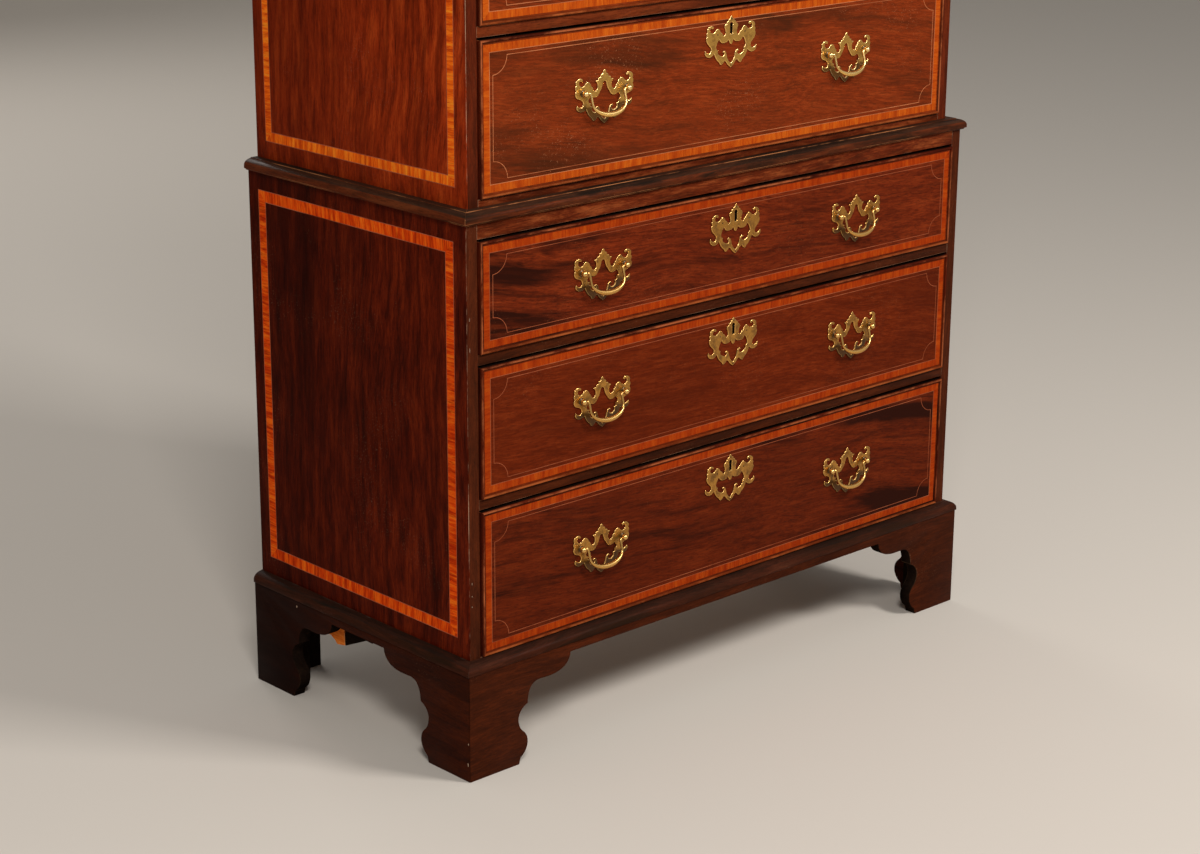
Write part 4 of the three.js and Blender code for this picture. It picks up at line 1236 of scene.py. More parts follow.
@dataclass
class Plinth:
    """The mitred plinth with its scrolled bracket feet, and the plain brackets at the back."""

    thickness: float = 22 * MM
    apron: float = 157.5 * MM
    reach: float = 206 * MM
    base_share: float = 0.483
    curve_steps: int = 10
    arris: float = 1.3 * MM
    mitre_gap: float = 0.15 * MM
    bracket_reach: float = 150 * MM
    bracket_foot: float = 92 * MM
    bracket_share: float = 0.45
    sawn_slope: float = 0.5
    sawn_high_share: float = 1.01
    torn_thickness: float = 6 * MM
    block_thickness: float = 14 * MM

    def foot_edge(self) -> list[Flat]:
        """Returns the scroll of one foot as (reach, height), from the apron down to the floor."""
        points = [(self.reach, self.apron)]
        start = Vector((self.reach, self.apron))
        for control, end in FOOT_CURVE_SHARES:
            bend = Vector((control[0] * self.reach, control[1] * self.apron))
            stop = Vector((end[0] * self.reach, end[1] * self.apron))
            for step in range(1, self.curve_steps + 1):
                t = step / self.curve_steps
                spot = start * (1 - t) ** 2 + bend * 2 * t * (1 - t) + stop * t**2
                points.append((spot.x, spot.y))
            start = stop
        points.append((self.base_share * self.reach, 0.0))
        return points

    def outline(self, start: float, end: float, top: float) -> list[Flat]:
        """Returns a board's outline with a foot at each end."""
        edge = self.foot_edge()
        rising = [(start + reach, height) for reach, height in reversed(edge)]
        falling = [(end - reach, height) for reach, height in edge]
        return [(start, 0.0), *rising, *falling, (end, 0.0), (end, top), (start, top)]

    def board(
        self, node: str, place: Place, start: float, end: float, top: float, mitred: Sequence[float]
    ) -> None:
        """Builds one board, whose back face is drawn in at its mitred ends.

        Args:
            node: The solid it stands for.
            place: The placing of (along, up, inward) on the board's outer face.
            start: Where it starts along its length.
            end: Where it ends.
            top: Its top edge.
            mitred: The ends that are mitred.
        """
        outline = self.outline(start, end, top)
        rings = []
        for level in (0.0, self.thickness):
            ring = []
            for along, up in outline:
                if along in mitred:
                    inward = 1.0 if along == min(start, end) else -1.0
                    along += inward * (level + self.mitre_gap)
                ring.append(place(along, up, level))
            rings.append(ring)
        bm = loft(rings)
        soften(bm, self.arris)
        outward = Vector(place(0.0, 0.0, 0.0)) - Vector(place(0.0, 0.0, 1.0))
        # Sawn faces low on the board take the near-black deal, a painted shade.
        for face in bm.faces:
            low = face.calc_center_median().z < self.apron * self.sawn_high_share
            face.material_index = int(low and abs(face.normal.dot(outward)) < self.sawn_slope)
        across_front = node == "plinth_front"
        timber = PLINTH_MAHOGANY if across_front else PLINTH_SIDE_MAHOGANY
        grain = Grain.X if across_front else Grain.Y
        timbers = [timber.material(grain), SHADED_DEAL.material(grain)]
        piece = finish_piece(node + "_board", bm, timbers, "lower_case")
        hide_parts(node)

    def bracket(self, hand: int) -> None:
        """Builds the plain bracket behind one rear foot."""
        label = HAND_NAMES[hand]
        low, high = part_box(f"rear_bracket_{label}")
        inner = low[0] if hand < 0 else high[0]
        foot = self.bracket_foot
        tip = self.bracket_reach
        curve_low = self.bracket_share * high[2]
        sweep = []
        for step in range(self.curve_steps + 1):
            t = step / self.curve_steps
            across = foot + (tip - foot) * t**2
            up = curve_low * (1 - t) ** 2 + self.apron * (2 * t * (1 - t) + t**2)
            sweep.append((across, up))
        outline = [(0.0, 0.0), (foot, 0.0), *sweep, (tip, high[2]), (0.0, high[2])]
        bm = bmesh.new()
        prism(bm, outline, lambda across, up, back: (inner - hand * across, back, up), low[1], high[1])
        soften(bm, CaseBoards.board_arris)
        # The bracket takes the near-black deal, a painted shade.
        timbers = [SHADED_DEAL.material(Grain.X)]
        piece = finish_piece(f"rear_bracket_{label}_board", bm, timbers, "lower_case")
        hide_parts(f"rear_bracket_{label}")

    def torn_scroll(self, inner: float) -> None:
        """Builds the torn wood and the block that show where the left side's rear scroll is broken.

        Args:
            inner: The level of the left board's inner face.
        """
        # The block behind the torn wood is near-black deal, a painted shade.
        for name, points, thickness, timber in (
            ("plinth_torn_wood", TORN_OUTLINE, self.torn_thickness, TORN_WOOD),
            ("plinth_torn_block", TORN_BLOCK_OUTLINE, self.block_thickness, SHADED_DEAL),
        ):
            bm = bmesh.new()
            prism(bm, [(x * MM, z * MM) for x, z in points], side_of(inner, 1), 0.0, thickness)
            soften(bm, CaseBoards.board_arris)
            piece = finish_piece(name, bm, [timber.material(Grain.Y)], "lower_case")

    def build(self) -> None:
        """Builds the three boards and the two brackets."""
        low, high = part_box("plinth_front")
        front, back, top = low[1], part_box("plinth_left")[1][1], high[2]
        ends = (low[0], high[0])
        self.board("plinth_front", lambda along, up, deep: (along, front + deep, up), *ends, top, ends)
        for (hand, label), face in zip(HAND_NAMES.items(), ends):
            inward = side_of(face, -hand)
            self.board(f"plinth_{label}", inward, front, back, top, (front,))
            self.bracket(hand)
        self.torn_scroll(low[0] + self.thickness)
        Chips("plinth_chips", side_of(low[0], -1), PLINTH_CHIPS).build()
        log.info("plinth: three boards with bracket feet and two rear brackets")


# Brass


PLATE_FOOT = (
    (37.0, -25.0, "V"), (34.8, -29.6), (30.6, -35.6), (25.4, -39.8), (22.6, -43.4),
    (18.6, -42.6), (14.4, -38.4, "V"), (11.2, -39.6), (7.0, -44.4), (3.0, -47.4),
    (0.0, -49.4, "V"),
)
PULL_EDGE = (
    (0.0, 31.6, "V"), (2.6, 29.6), (3.6, 26.0, "V"), (7.0, 24.6), (8.3, 20.8, "V"),
    (11.8, 20.2), (13.5, 16.6, "V"), (18.0, 15.9), (15.2, 12.6), (14.2, 8.0),
    (15.4, 3.6), (18.4, 1.4), (22.2, 3.0), (24.0, 7.0), (26.4, 8.6, "V"),
    (28.6, 13.0), (32.6, 15.9), (36.6, 15.9), (40.6, 12.2), (44.6, 10.2),
    (48.6, 11.4), (51.0, 14.6), (50.4, 17.8), (47.8, 18.3), (45.2, 17.4),
    (43.8, 19.8), (46.0, 22.2), (51.0, 22.7), (56.0, 20.6), (58.2, 16.8),
    (57.2, 13.2, "V"), (58.9, 10.2), (58.6, 6.8), (57.2, 4.6, "V"), (59.0, 1.4),
    (58.6, -2.6), (55.6, -6.6), (50.4, -8.6), (45.8, -10.8), (43.2, -14.4),
    (43.6, -18.2), (47.0, -20.4), (51.4, -19.2), (55.0, -16.4, "V"), (56.4, -20.4),
    (54.4, -24.6), (49.2, -27.4), (43.0, -27.2),
    *PLATE_FOOT,
)
KEY_EDGE = (
    (0.0, 31.2, "V"), (2.4, 29.0), (3.2, 26.6, "V"), (6.2, 25.4), (6.9, 22.8, "V"),
    (9.8, 21.8), (10.6, 19.2, "V"), (13.6, 17.8), (14.9, 14.0), (13.2, 10.4),
    (12.4, 6.2), (13.2, 2.4), (15.4, 1.0), (18.0, 3.0), (20.4, 6.0),
    (22.6, 6.8, "V"), (25.2, 10.8), (29.4, 13.4), (33.4, 11.4), (37.2, 8.2),
    (41.4, 7.6), (44.8, 8.8), (46.4, 11.8), (45.0, 14.4), (42.2, 14.4),
    (39.8, 13.6), (38.6, 16.2), (41.0, 18.4), (46.4, 18.6), (51.0, 16.2),
    (52.9, 12.4), (51.9, 9.6, "V"), (53.9, 6.6), (52.5, 3.4, "V"), (54.4, 0.4),
    (54.2, -3.2), (51.4, -8.4), (47.2, -12.4), (44.0, -16.2), (44.2, -20.2),
    (47.6, -22.8), (52.4, -21.6), (56.0, -18.2, "V"), (57.2, -22.4), (54.6, -27.0),
    (49.0, -29.6), (42.6, -29.0),
    *PLATE_FOOT,
)
PIERCING_CURL = (
    (22.4, -29.2), (18.8, -30.2), (15.6, -29.2), (14.2, -26.8), (15.6, -25.2),
    (18.0, -25.4, "V"), (17.0, -22.6), (13.6, -21.9), (10.8, -24.2), (9.2, -28.4),
    (7.6, -33.6), (4.4, -38.6), (0.0, -42.2, "V"),
)
PULL_PIERCING = (
    (0.0, 14.0), (2.9, 12.4), (4.0, 9.0), (5.0, 6.0, "V"), (6.6, 2.2),
    (9.2, -1.0), (11.6, -4.6), (14.8, -7.8), (18.8, -8.8), (23.4, -7.9),
    (27.6, -5.8, "V"), (30.6, -8.6), (32.2, -12.4), (30.6, -15.2), (27.4, -16.0, "V"),
    (28.4, -20.0, "V"), (24.2, -21.6, "V"), (25.2, -25.8),
    *PIERCING_CURL,
)
KEY_PIERCING = (
    (0.0, -13.6, "V"), (2.6, -12.0), (4.2, -8.4), (5.8, -6.4, "V"), (8.2, -9.0),
    (12.6, -10.0), (18.4, -10.2), (22.8, -8.4), (26.0, -4.0, "V"), (28.6, -6.4),
    (31.2, -11.4), (32.4, -15.8), (30.4, -19.2), (28.2, -20.0, "V"), (28.8, -24.2),
    *PIERCING_CURL,
)


MERGE_REACH = 0.0001 * MM


def whole_outline(half: Outline) -> Outline:
    """Returns a closed outline about x = 0 from its right half, which starts and ends on the axis."""
    return [*half, *[(-x, z, *sharp) for x, z, *sharp in reversed(half[1:-1])]]


def smooth_loop(points: Outline, steps: int, handle_share: float = 0.39) -> list[Vector]:
    """Returns a closed line that bends through its points but turns sharply at those marked V.

    Args:
        points: The points as (across, up) or (across, up, "V"), in millimetres.
        steps: The number of steps between two points.
        handle_share: How far the bend's handles reach along each stretch.

    Returns:
        The line's points, in metres.
    """
    spots = [Vector((x * MM, z * MM)) for x, z, *_ in points]
    count = len(spots)
    headings = []
    for index, spot in enumerate(spots):
        before = (spot - spots[index - 1]).normalized()
        after = (spots[(index + 1) % count] - spot).normalized()
        middle = (before + after).normalized()
        headings.append((before, after) if "V" in points[index] else (middle, middle))
    loop = []
    for index, start in enumerate(spots):
        following = (index + 1) % count
        stop = spots[following]
        reach = (stop - start).length * handle_share
        first = start + headings[index][1] * reach
        second = stop - headings[following][0] * reach
        loop += [Vector(spot) for spot in interpolate_bezier(start, first, second, stop, steps + 1)[:-1]]
    return loop


def signed_area(loop: Sequence[Vector]) -> float:
    """Returns the area inside a closed line, above zero where it runs counter-clockwise."""
    return sum(here.cross(there) for here, there in zip(loop, [*loop[1:], loop[0]])) / 2


def fill_between(bm: Work, rings: Sequence[Ring]) -> Faces:
    """Fills the region between an outer ring and the rings inside it with triangles, seen along Y.

    Args:
        bm: The mesh to add to.
        rings: The rings of vertices.

    Returns:
        The triangles.
    """
    verts = [vert for ring in rings for vert in ring]
    flat = [Vector((vert.co.x, vert.co.z)) for vert in verts]
    lines = []
    for ring in rings:
        first = len(lines)
        lines += [(first + index, first + (index + 1) % len(ring)) for index in range(len(ring))]
    spots, _, triangles, sources, _, _ = delaunay_2d_cdt(flat, lines, [], 0, MERGE_REACH)
    stretches = [(flat[here], flat[there]) for here, there in lines]
    made = []
    for triangle in triangles:
        middle = sum((spots[index] for index in triangle), Vector((0.0, 0.0))) / 3
        crossings = 0
        for here, there in stretches:
            if (here.y > middle.y) != (there.y > middle.y):
                share = (middle.y - here.y) / (there.y - here.y)
                crossings += middle.x < here.x + share * (there.x - here.x)
        corners = [verts[sources[index][0]] for index in triangle if sources[index]]
        if crossings % 2 and len(set(corners)) == 3:
            made.append(bm.faces.new(corners))
    return made


@dataclass
class Plate:
    """A cast plate with openings, its front edges rounded as far as its narrow places allow."""

    thickness: float = 2.2 * MM
    rounding: float = 1.2 * MM
    curve_steps: int = 4
    round_steps: int = 3
    mitre_limit: float = 1.5
    least_turn: float = 0.01
    reach_shares: tuple[float, ...] = (1.0, 0.85, 0.7, 0.55, 0.4, 0.25)
    clear_share: float = 0.9
    flat_wear: float = -0.3
    # The rims' value rises where they look towards the lit side and falls where they look away: painted
    # highlight and shade.
    edge_wear: float = 0.8
    edge_start: float = 0.05
    lit_side: Vector = field(default_factory=lambda: Vector((-0.45, -0.45, 0.77)))
    flat_least: float = 0.97

    def inward(self, loop: Sequence[Vector]) -> list[Way]:
        """Returns each point's way into the metal, and how much clearance a unit of it should give."""
        ways = []
        for index, spot in enumerate(loop):
            before = (spot - loop[index - 1]).normalized()
            after = (loop[(index + 1) % len(loop)] - spot).normalized()
            half_turn = sqrt(max((1 + before.dot(after)) / 2, self.least_turn**2))
            middle = (before + after).normalized() if half_turn > self.least_turn * 2 else after
            length = min(1 / half_turn, self.mitre_limit)
            ways.append((Vector((-middle.y, middle.x)) * length, min(1.0, length * half_turn)))
        return ways

    def reaches(self, loops: Sequence[list[Vector]], ways: Sequence[list[Way]]) -> list[list[float]]:
        """Returns how far the rounding runs in from each point before it meets that of another edge.

        Args:
            loops: The plate's outline and those of its openings.
            ways: Each point's way into the metal and its clearance, loop by loop.

        Returns:
            A list of distances for each loop.
        """
        starts = np.array([spot for loop in loops for spot in loop])
        ends = np.array([spot for loop in loops for spot in [*loop[1:], loop[0]]])
        along = ends - starts
        lengths = (along**2).sum(1)
        found = []
        for loop, loop_ways in zip(loops, ways):
            row = []
            for spot, (way, clearance) in zip(loop, loop_ways):
                for share in self.reach_shares:
                    reach = share * self.rounding
                    there = np.array(spot + way * reach)
                    shares = np.clip(((there - starts) * along).sum(1) / lengths, 0.0, 1.0)
                    nearest = starts + along * shares[:, None]
                    gap = np.sqrt(((nearest - there) ** 2).sum(1).min())
                    if gap >= self.clear_share * clearance * reach:
                        break
                row.append(reach)
            found.append(row)
        return found

    def mesh(self, name: str, edges: Sequence[Outline]) -> Mesh:
        """Returns the plate standing on y = 0 and facing -Y.

        Args:
            name: The mesh's name.
            edges: Its outline and then those of its openings.

        Returns:
            The mesh, without a material.
        """
        loops = []
        for number, edge in enumerate(edges):
            loop = smooth_loop(edge, self.curve_steps)
            wanted = -1 if number else 1
            loops.append(loop if signed_area(loop) * wanted > 0 else loop[::-1])
        ways = [self.inward(loop) for loop in loops]
        bm = bmesh.new()
        wear = bm.faces.layers.float.new(WEAR_AND_LIGHT)
        backs = []
        crests = []
        rims = []
        for loop, loop_ways, reaches in zip(loops, ways, self.reaches(loops, ways)):
            rows = [[bm.verts.new((spot.x, 0.0, spot.y)) for spot in loop]]
            for turn in range(self.round_steps + 1):
                angle = pi / 2 * turn / self.round_steps
                row = []
                for spot, (way, _), reach in zip(loop, loop_ways, reaches):
                    rise = sqrt(self.rounding**2 - (self.rounding - reach) ** 2)
                    inner = spot + way * reach * (1 - cos(angle))
                    height = self.thickness - self.rounding + rise * sin(angle)
                    row.append(bm.verts.new((inner.x, -height, inner.y)))
                rows.append(row)
            for here, there in zip(rows, rows[1:]):
                rims += bridge(bm, here, there)
            backs.append(rows[0])
            crests.append(rows[-1])
        for face in [*fill_between(bm, crests), *fill_between(bm, backs)]:
            face.normal_update()
            face[wear] = self.flat_wear
            face.smooth = abs(face.normal.y) < self.flat_least
        turn_outward(bm)
        # Painted highlight and shade: rims that look towards the lit side go pale, those that look away go
        # dark.
        for face in rims:
            face.smooth = True
            face[wear] = self.edge_start + self.edge_wear * face.normal.dot(self.lit_side)
        return mesh_of(name, bm)


@dataclass
class Brasses:
    """The plates, posts, pins and bails of one finish, made once and placed on each drawer."""

    finish: Metal
    plate: Plate = field(default_factory=Plate)
    keyhole_width: float = 5.4 * MM
    keyhole_eye: float = 3.3 * MM
    keyhole_low: float = 2.8 * MM
    keyhole_high: float = 21.0 * MM
    spacing: float = 88 * MM
    standoff: float = 8 * MM
    ball: float = 5.0 * MM
    ball_start: float = -52.0
    ball_end: float = 84.0
    ball_steps: int = 11
    ball_wear: float = 0.3
    neck: float = 2.5 * MM
    collar: float = 2.9 * MM
    collar_turnings: tuple[Flat, ...] = (
        (2.9 * MM, 0.4 * MM), (2.4 * MM, 0.9 * MM), (1.1 * MM, 1.3 * MM),
        (0.3 * MM, 2.0 * MM), (0.0, 2.6 * MM),
    )
    bail_half: float = 34 * MM
    bail_drop: float = 35 * MM
    bail_leg: float = 1.9 * MM
    bail_belly: float = 4.1 * MM
    bail_pin: float = 1.3 * MM
    bail_elbow: float = 3.6 * MM
    elbow_swell: float = 0.25 * MM
    elbow_steps: int = 5
    bow_steps: int = 14
    bow_start_share: float = 0.46
    pin_gap: float = 1.2 * MM
    bail_rest: float = 16.0
    # How far the bail and the balls go pale towards the lit side and dark away from it: painted highlight
    # and shade.
    bail_wear: float = 0.85
    # The levels on the pull plates between which the painted shadow of the bail darkens them.
    bail_shadowed_top: float = -15 * MM
    bail_shadowed_low: float = -30 * MM
    pin_radius: float = 1.3 * MM
    pin_dome_share: float = 0.7
    turned_sides: int = 28
    bail_sides: int = 14
    meshes: dict[str, Mesh] = field(default_factory=dict)

    def keyhole(self, steps: int = 14) -> list[Flat]:
        """Returns the keyhole's outline about the plate's level, in metres."""
        half = self.keyhole_width / 2
        centre = self.keyhole_high - self.keyhole_eye
        gap = asin(half / self.keyhole_eye)
        start = gap - pi / 2
        sweep = 2 * pi - 2 * gap
        points = [(-half, self.keyhole_low), (half, self.keyhole_low)]
        for step in range(steps + 1):
            angle = start + sweep * step / steps
            points.append((self.keyhole_eye * cos(angle), centre + self.keyhole_eye * sin(angle)))
        return points

    def turned_mesh(self, name: str, profile: Sequence[Flat]) -> Mesh:
        """Returns a turned form whose profile is (radius, height out from the drawer's face)."""
        turns = circle(self.turned_sides)
        bm = loft([[(radius * x, -height, radius * z) for x, z in turns] for radius, height in profile])
        wear = bm.faces.layers.float.new(WEAR_AND_LIGHT)
        # The ball goes pale on the side that looks towards the lit side and dark away from it: painted
        # highlight and shade.
        for face in bm.faces:
            on_ball = -face.calc_center_median().y > self.standoff - self.ball / 2
            rubbed = self.ball_wear + self.bail_wear * face.normal.dot(self.plate.lit_side)
            face[wear] = rubbed if on_ball else 0.0
            # The collar and neck take the near-black brass: tarnish and painted shade.
            face.material_index = 0 if on_ball else 1
        return mesh_of(name, bm)

    def post_profile(self) -> list[Flat]:
        """Returns the profile of a collared post with a ball head."""
        ball = (self.ball, self.ball)
        return [
            (self.neck + self.collar, 0.0),
            *[(self.neck + out, self.plate.thickness + up) for out, up in self.collar_turnings],
            *arc((0.0, self.standoff), ball, self.ball_start, self.ball_end, self.ball_steps),
        ]

    def bail_mesh(self) -> Mesh:
        """Returns a bail about its pivot at the origin, hanging at its angle of rest."""
        half = self.bail_half
        elbow = self.bail_elbow
        pin_end = self.spacing / 2 - self.pin_gap
        stations = [(pin_end, 0.0, self.bail_pin), (half + elbow, 0.0, self.bail_pin)]
        for x, z in arc((half + elbow, -elbow), (elbow, elbow), 90, 180, self.elbow_steps)[1:]:
            stations.append((x, z, self.bail_leg + self.elbow_swell))
        foot = -self.bail_drop * self.bow_start_share
        for x, z in arc((0.0, foot), (half, self.bail_drop + foot), 0, -90, self.bow_steps):
            swell = ((foot - z) / (self.bail_drop + foot)) ** 2 if z < foot else 0.0
            stations.append((x, z, self.bail_leg + (self.bail_belly - self.bail_leg) * swell))
        stations += [(-x, z, radius) for x, z, radius in reversed(stations[:-1])]
        lean = Matrix.Rotation(-radians(self.bail_rest), 4, "X")
        rings = []
        for index, (x, z, radius) in enumerate(stations):
            before = stations[max(index - 1, 0)]
            after = stations[min(index + 1, len(stations) - 1)]
            along = Vector((after[0] - before[0], 0.0, after[1] - before[1])).normalized()
            across = Vector((-along.z, 0.0, along.x))
            ring = []
            for along_share, out_share in circle(self.bail_sides):
                spot = Vector((x, 0.0, z)) + across * radius * along_share
                spot.y += radius * out_share
                ring.append(tuple(lean @ spot))
            rings.append(ring)
        bm = loft(rings)
        wear = bm.faces.layers.float.new(WEAR_AND_LIGHT)
        # Painted highlight and shade: faces that look towards the lit side go pale, those that look away go
        # dark.
        for face in bm.faces:
            face[wear] = self.bail_wear * face.normal.dot(self.plate.lit_side)
        return mesh_of("bail", bm)

    def build(self) -> None:
        """Makes the meshes that every drawer shares."""
        dome_radii = (self.pin_radius, self.pin_radius * self.pin_dome_share)
        dome = arc((0.0, self.plate.thickness), dome_radii, 0, 80, 4)
        keyhole = [(x / MM, z / MM, "V") for x, z in self.keyhole()]
        pull_edges = [whole_outline(PULL_EDGE), whole_outline(PULL_PIERCING)]
        key_edges = [whole_outline(KEY_EDGE), whole_outline(KEY_PIERCING), keyhole]
        self.meshes = {
            "pull_plate": self.plate.mesh("pull_plate", pull_edges),
            "key_plate": self.plate.mesh("key_plate", key_edges),
            "post": self.turned_mesh("post", self.post_profile()),
            "plate_pin": self.turned_mesh("plate_pin", [(self.pin_radius, 0.0), *dome]),
            "bail": self.bail_mesh(),
        }
        # The pull plates take a copy of the finish with the painted shadow of the bail on their lower part.
        bail_shadowed = replace(
            self.finish,
            name=f"{self.finish.name}_sheltered",
            bail_shadowed_top=self.bail_shadowed_top,
            bail_shadowed_low=self.bail_shadowed_low,
        )
        self.meshes["pull_plate"].materials.append(bail_shadowed.material())
        self.meshes["key_plate"].materials.append(self.finish.material())
        log.info("brass: plates, posts, pins and bails made")

    def put(self, kind: str, name: str, spot: Spot, body: str) -> Piece:
        """Places a copy of a shared mesh.

        Args:
            kind: Which mesh.
            name: The piece's name.
            spot: Where its own origin goes.
            body: The body that carries it.

        Returns:
            The object.
        """
        finishes = [self.finish.material(), SHADED_GRIMY_BRASS.material()]
        piece = place_mesh(name, self.meshes[kind], finishes, body, smooth=40.0, spot=spot)
        return piece


# Drawers


@dataclass
class Drawer:
    """One drawer: a dovetailed box and an inlaid front with its cockbead, brass and lock."""

    name: str
    timber: Timber
    lot: float
    brasses: Brasses
    joints: Sequence[dict[str, Any]]
    front_thickness: float = 20 * MM
    bead_width: float = 4.2 * MM
    bead_proud: float = 3.0 * MM
    veneer: float = 0.12 * MM
    string_proud: float = 0.144 * MM
    band_inset: float = 7.2 * MM
    band_width: float = 11 * MM
    string: float = 0.85 * MM
    hollow_inset: float = 24.4 * MM
    hollow_radius: float = 27 * MM
    side_thickness: float = 9 * MM
    bottom_thickness: float = 6 * MM
    bottom_lift: float = 9 * MM
    back_drop: float = 8 * MM
    tail_length: float = 13 * MM
    tail_pitch: float = 62 * MM
    tail_foot_share: float = 0.2
    tail_head_share: float = 0.333
    fit: float = FIT
    key_depth: float = 14 * MM
    plate_pins: tuple[Flat, ...] = (
        (-30 * MM, 4 * MM), (30 * MM, 4 * MM), (0.0, 26 * MM), (0.0, -45.5 * MM),
    )
    lock_width: float = 64 * MM
    lock_height: float = 42 * MM
    lock_proud: float = 1.6 * MM
    screw_inset: float = 7 * MM
    screw_radius: float = 3 * MM
    screw_proud: float = 0.8 * MM
    screw_sides: int = 12
    front_arris: float = 0.35 * MM
    box_arris: float = 0.5 * MM
    bottom_arris: float = 0.4 * MM
    lock_arris: float = 0.3 * MM
    overrun: float = 4 * MM
    flat_least: float = 0.9

    def __post_init__(self) -> None:
        """Takes the drawer's places from its solids and its pulls' pivots from the joints."""
        low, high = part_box(f"{self.name}_front")
        self.edges = (low[0], high[0], low[2], high[2])
        self.left, self.right, self.low, self.high = self.edges
        self.shoulder = high[1]
        self.face = self.shoulder - self.front_thickness
        box_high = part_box(f"{self.name}_box")[1]
        self.rear = box_high[1]
        self.side_high = box_high[2]
        self.centre = (self.left + self.right) / 2
        own = [joint for joint in self.joints if joint["child"].startswith(f"{self.name}_bail")]
        self.pivots = {joint["child"]: joint["pos_m"] for joint in own}
        self.pull_level = next(iter(self.pivots.values()))[2]

    def tails(self) -> list[tuple[float, float, float]]:
        """Returns the level of each dovetail, with its half height at the shoulder and at its head."""
        count = max(2, round((self.side_high - self.low) / self.tail_pitch))
        pitch = (self.side_high - self.low) / count
        foot, head = pitch * self.tail_foot_share, pitch * self.tail_head_share
        return [(self.low + pitch * index + pitch / 2, foot, head) for index in range(count)]

    def piece(self, part: str, bm: Work, materials: Sequence[Material], slot: str) -> Piece:
        """Makes a named piece of this drawer.

        Args:
            part: The end of its name.
            bm: Its mesh work.
            materials: Its materials.
            slot: The record's material slot, not used.

        Returns:
            The object.
        """
        made = finish_piece(f"{self.name}_{part}", bm, materials, self.name)
        return made

    def build_board(self, key_level: float) -> None:
        """Builds the front board, with sockets for the sides' dovetails and a hole for the key."""
        board = bmesh.new()
        block(board, (self.left, self.face, self.low), (self.right, self.shoulder, self.high))
        cutter = bmesh.new()
        start = self.shoulder + self.fit
        depth = self.shoulder - self.tail_length - self.fit
        mouth = self.shoulder + self.overrun
        for middle, foot, head in self.tails():
            slope = (head - foot) / (start - self.shoulder + self.tail_length)
            near = foot + slope * (start - mouth) + self.fit
            far = foot + slope * (start - depth) + self.fit
            lower = [(depth, middle - far), (mouth, middle - near)]
            outline = [*lower, (mouth, middle + near), (depth, middle + far)]
            for edge, hand in ((self.left, 1), (self.right, -1)):
                outer = edge - hand * self.overrun
                inner = edge + hand * (self.side_thickness + self.fit)
                prism(cutter, outline, lambda back, up, across: (across, back, up), outer, inner)
        hole = [(self.centre + x, key_level + z) for x, z in self.brasses.keyhole()]
        prism(cutter, hole, front_of(self.face), -self.key_depth, self.overrun)
        mesh = carved(board, cutter)
        made = bmesh.new()
        made.from_mesh(mesh)
        bpy.data.meshes.remove(mesh)
        soften(made, self.front_arris, segments=1)
        # Faces that look sideways take the near-black edge timber, painted shade with some dirt; the
        # board's two ends take the bead's timber.
        for face in made.faces:
            middle = face.calc_center_median().x
            at_end = min(middle - self.left, self.right - middle) < self.fit
            sideways = abs(face.normal.y) <= self.flat_least
            face.material_index = (2 if at_end else 1) if sideways else 0
        painted_shade = EDGE_SHADE_AND_GRIME.material(Grain.X)
        materials = [self.timber.material(Grain.X), painted_shade, BEAD_MAHOGANY.material(Grain.Z)]
        board_piece = self.piece("board", made, materials, "drawer_mahogany")
        board_piece[LOT] = self.lot
        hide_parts(f"{self.name}_front")

    def build_bead(self) -> None:
        """Builds the cockbead round the front's edge, its crown worn."""
        bead = bmesh.new()
        wear = bead.verts.layers.float.new(WEAR_AND_LIGHT)
        crown = arc((self.bead_width / 2, 0.0), (self.bead_width / 2, self.bead_proud), 180, 0, 8)
        section = [(0.0, -self.fit), *crown, (self.bead_width, -self.fit)]
        rows = []
        for inset, proud in section:
            corners = rectangle(self.edges, inset)
            row = [bead.verts.new((x, self.face - proud, z)) for x, z in corners]
            for vert in row:
                vert[wear] = max(0.0, proud / self.bead_proud) ** 2
            rows.append(row)
        for here, there in zip(rows, [*rows[1:], rows[0]]):
            for corner, face in enumerate(bridge(bead, here, there)):
                face.material_index = corner
        # The bottom length takes the lighter bead: rubbing, and painted light.
        upright, level = BEAD_MAHOGANY.material(Grain.Z), BEAD_MAHOGANY.material(Grain.X)
        materials = [LIT_WORN_BEAD.material(Grain.X), upright, level, upright]
        self.piece("cockbead", bead, materials, "drawer_mahogany")

    def build_inlay(self) -> None:
        """Builds the crossbanding, the string inside it and the inner string with hollow corners."""
        place = front_of(self.face)
        outer, inner = self.band_inset, self.band_inset + self.band_width
        crossband = flat_ring(self.edges, outer, inner, place, self.veneer)
        # The lower drawers take the darker banding and strings, a painted shade.
        in_lower_case = self.name.startswith("lower")
        banding = SHADED_SATINWOOD if in_lower_case else SATINWOOD
        crossed = [banding.material(Grain.Z), banding.material(Grain.X)]
        self.piece("crossband", crossband, crossed, "drawer_mahogany")
        line = flat_ring(self.edges, inner, inner + self.string, place, self.string_proud)
        string_wood = SHADED_BOXWOOD if in_lower_case else BOXWOOD
        strings = [string_wood.material(Grain.X), string_wood.material(Grain.Z)]
        self.piece("band_string", line, strings, "drawer_mahogany")
        (left, low), _, (right, high), _ = rectangle(self.edges, self.hollow_inset)
        within = (left, right, low, high)
        lines = [hollow_cornered(within, start, self.hollow_radius) for start in (0.0, self.string)]
        hollow = bmesh.new()
        band(hollow, *lines, place, self.veneer)
        self.piece("inner_string", hollow, strings, "drawer_mahogany")

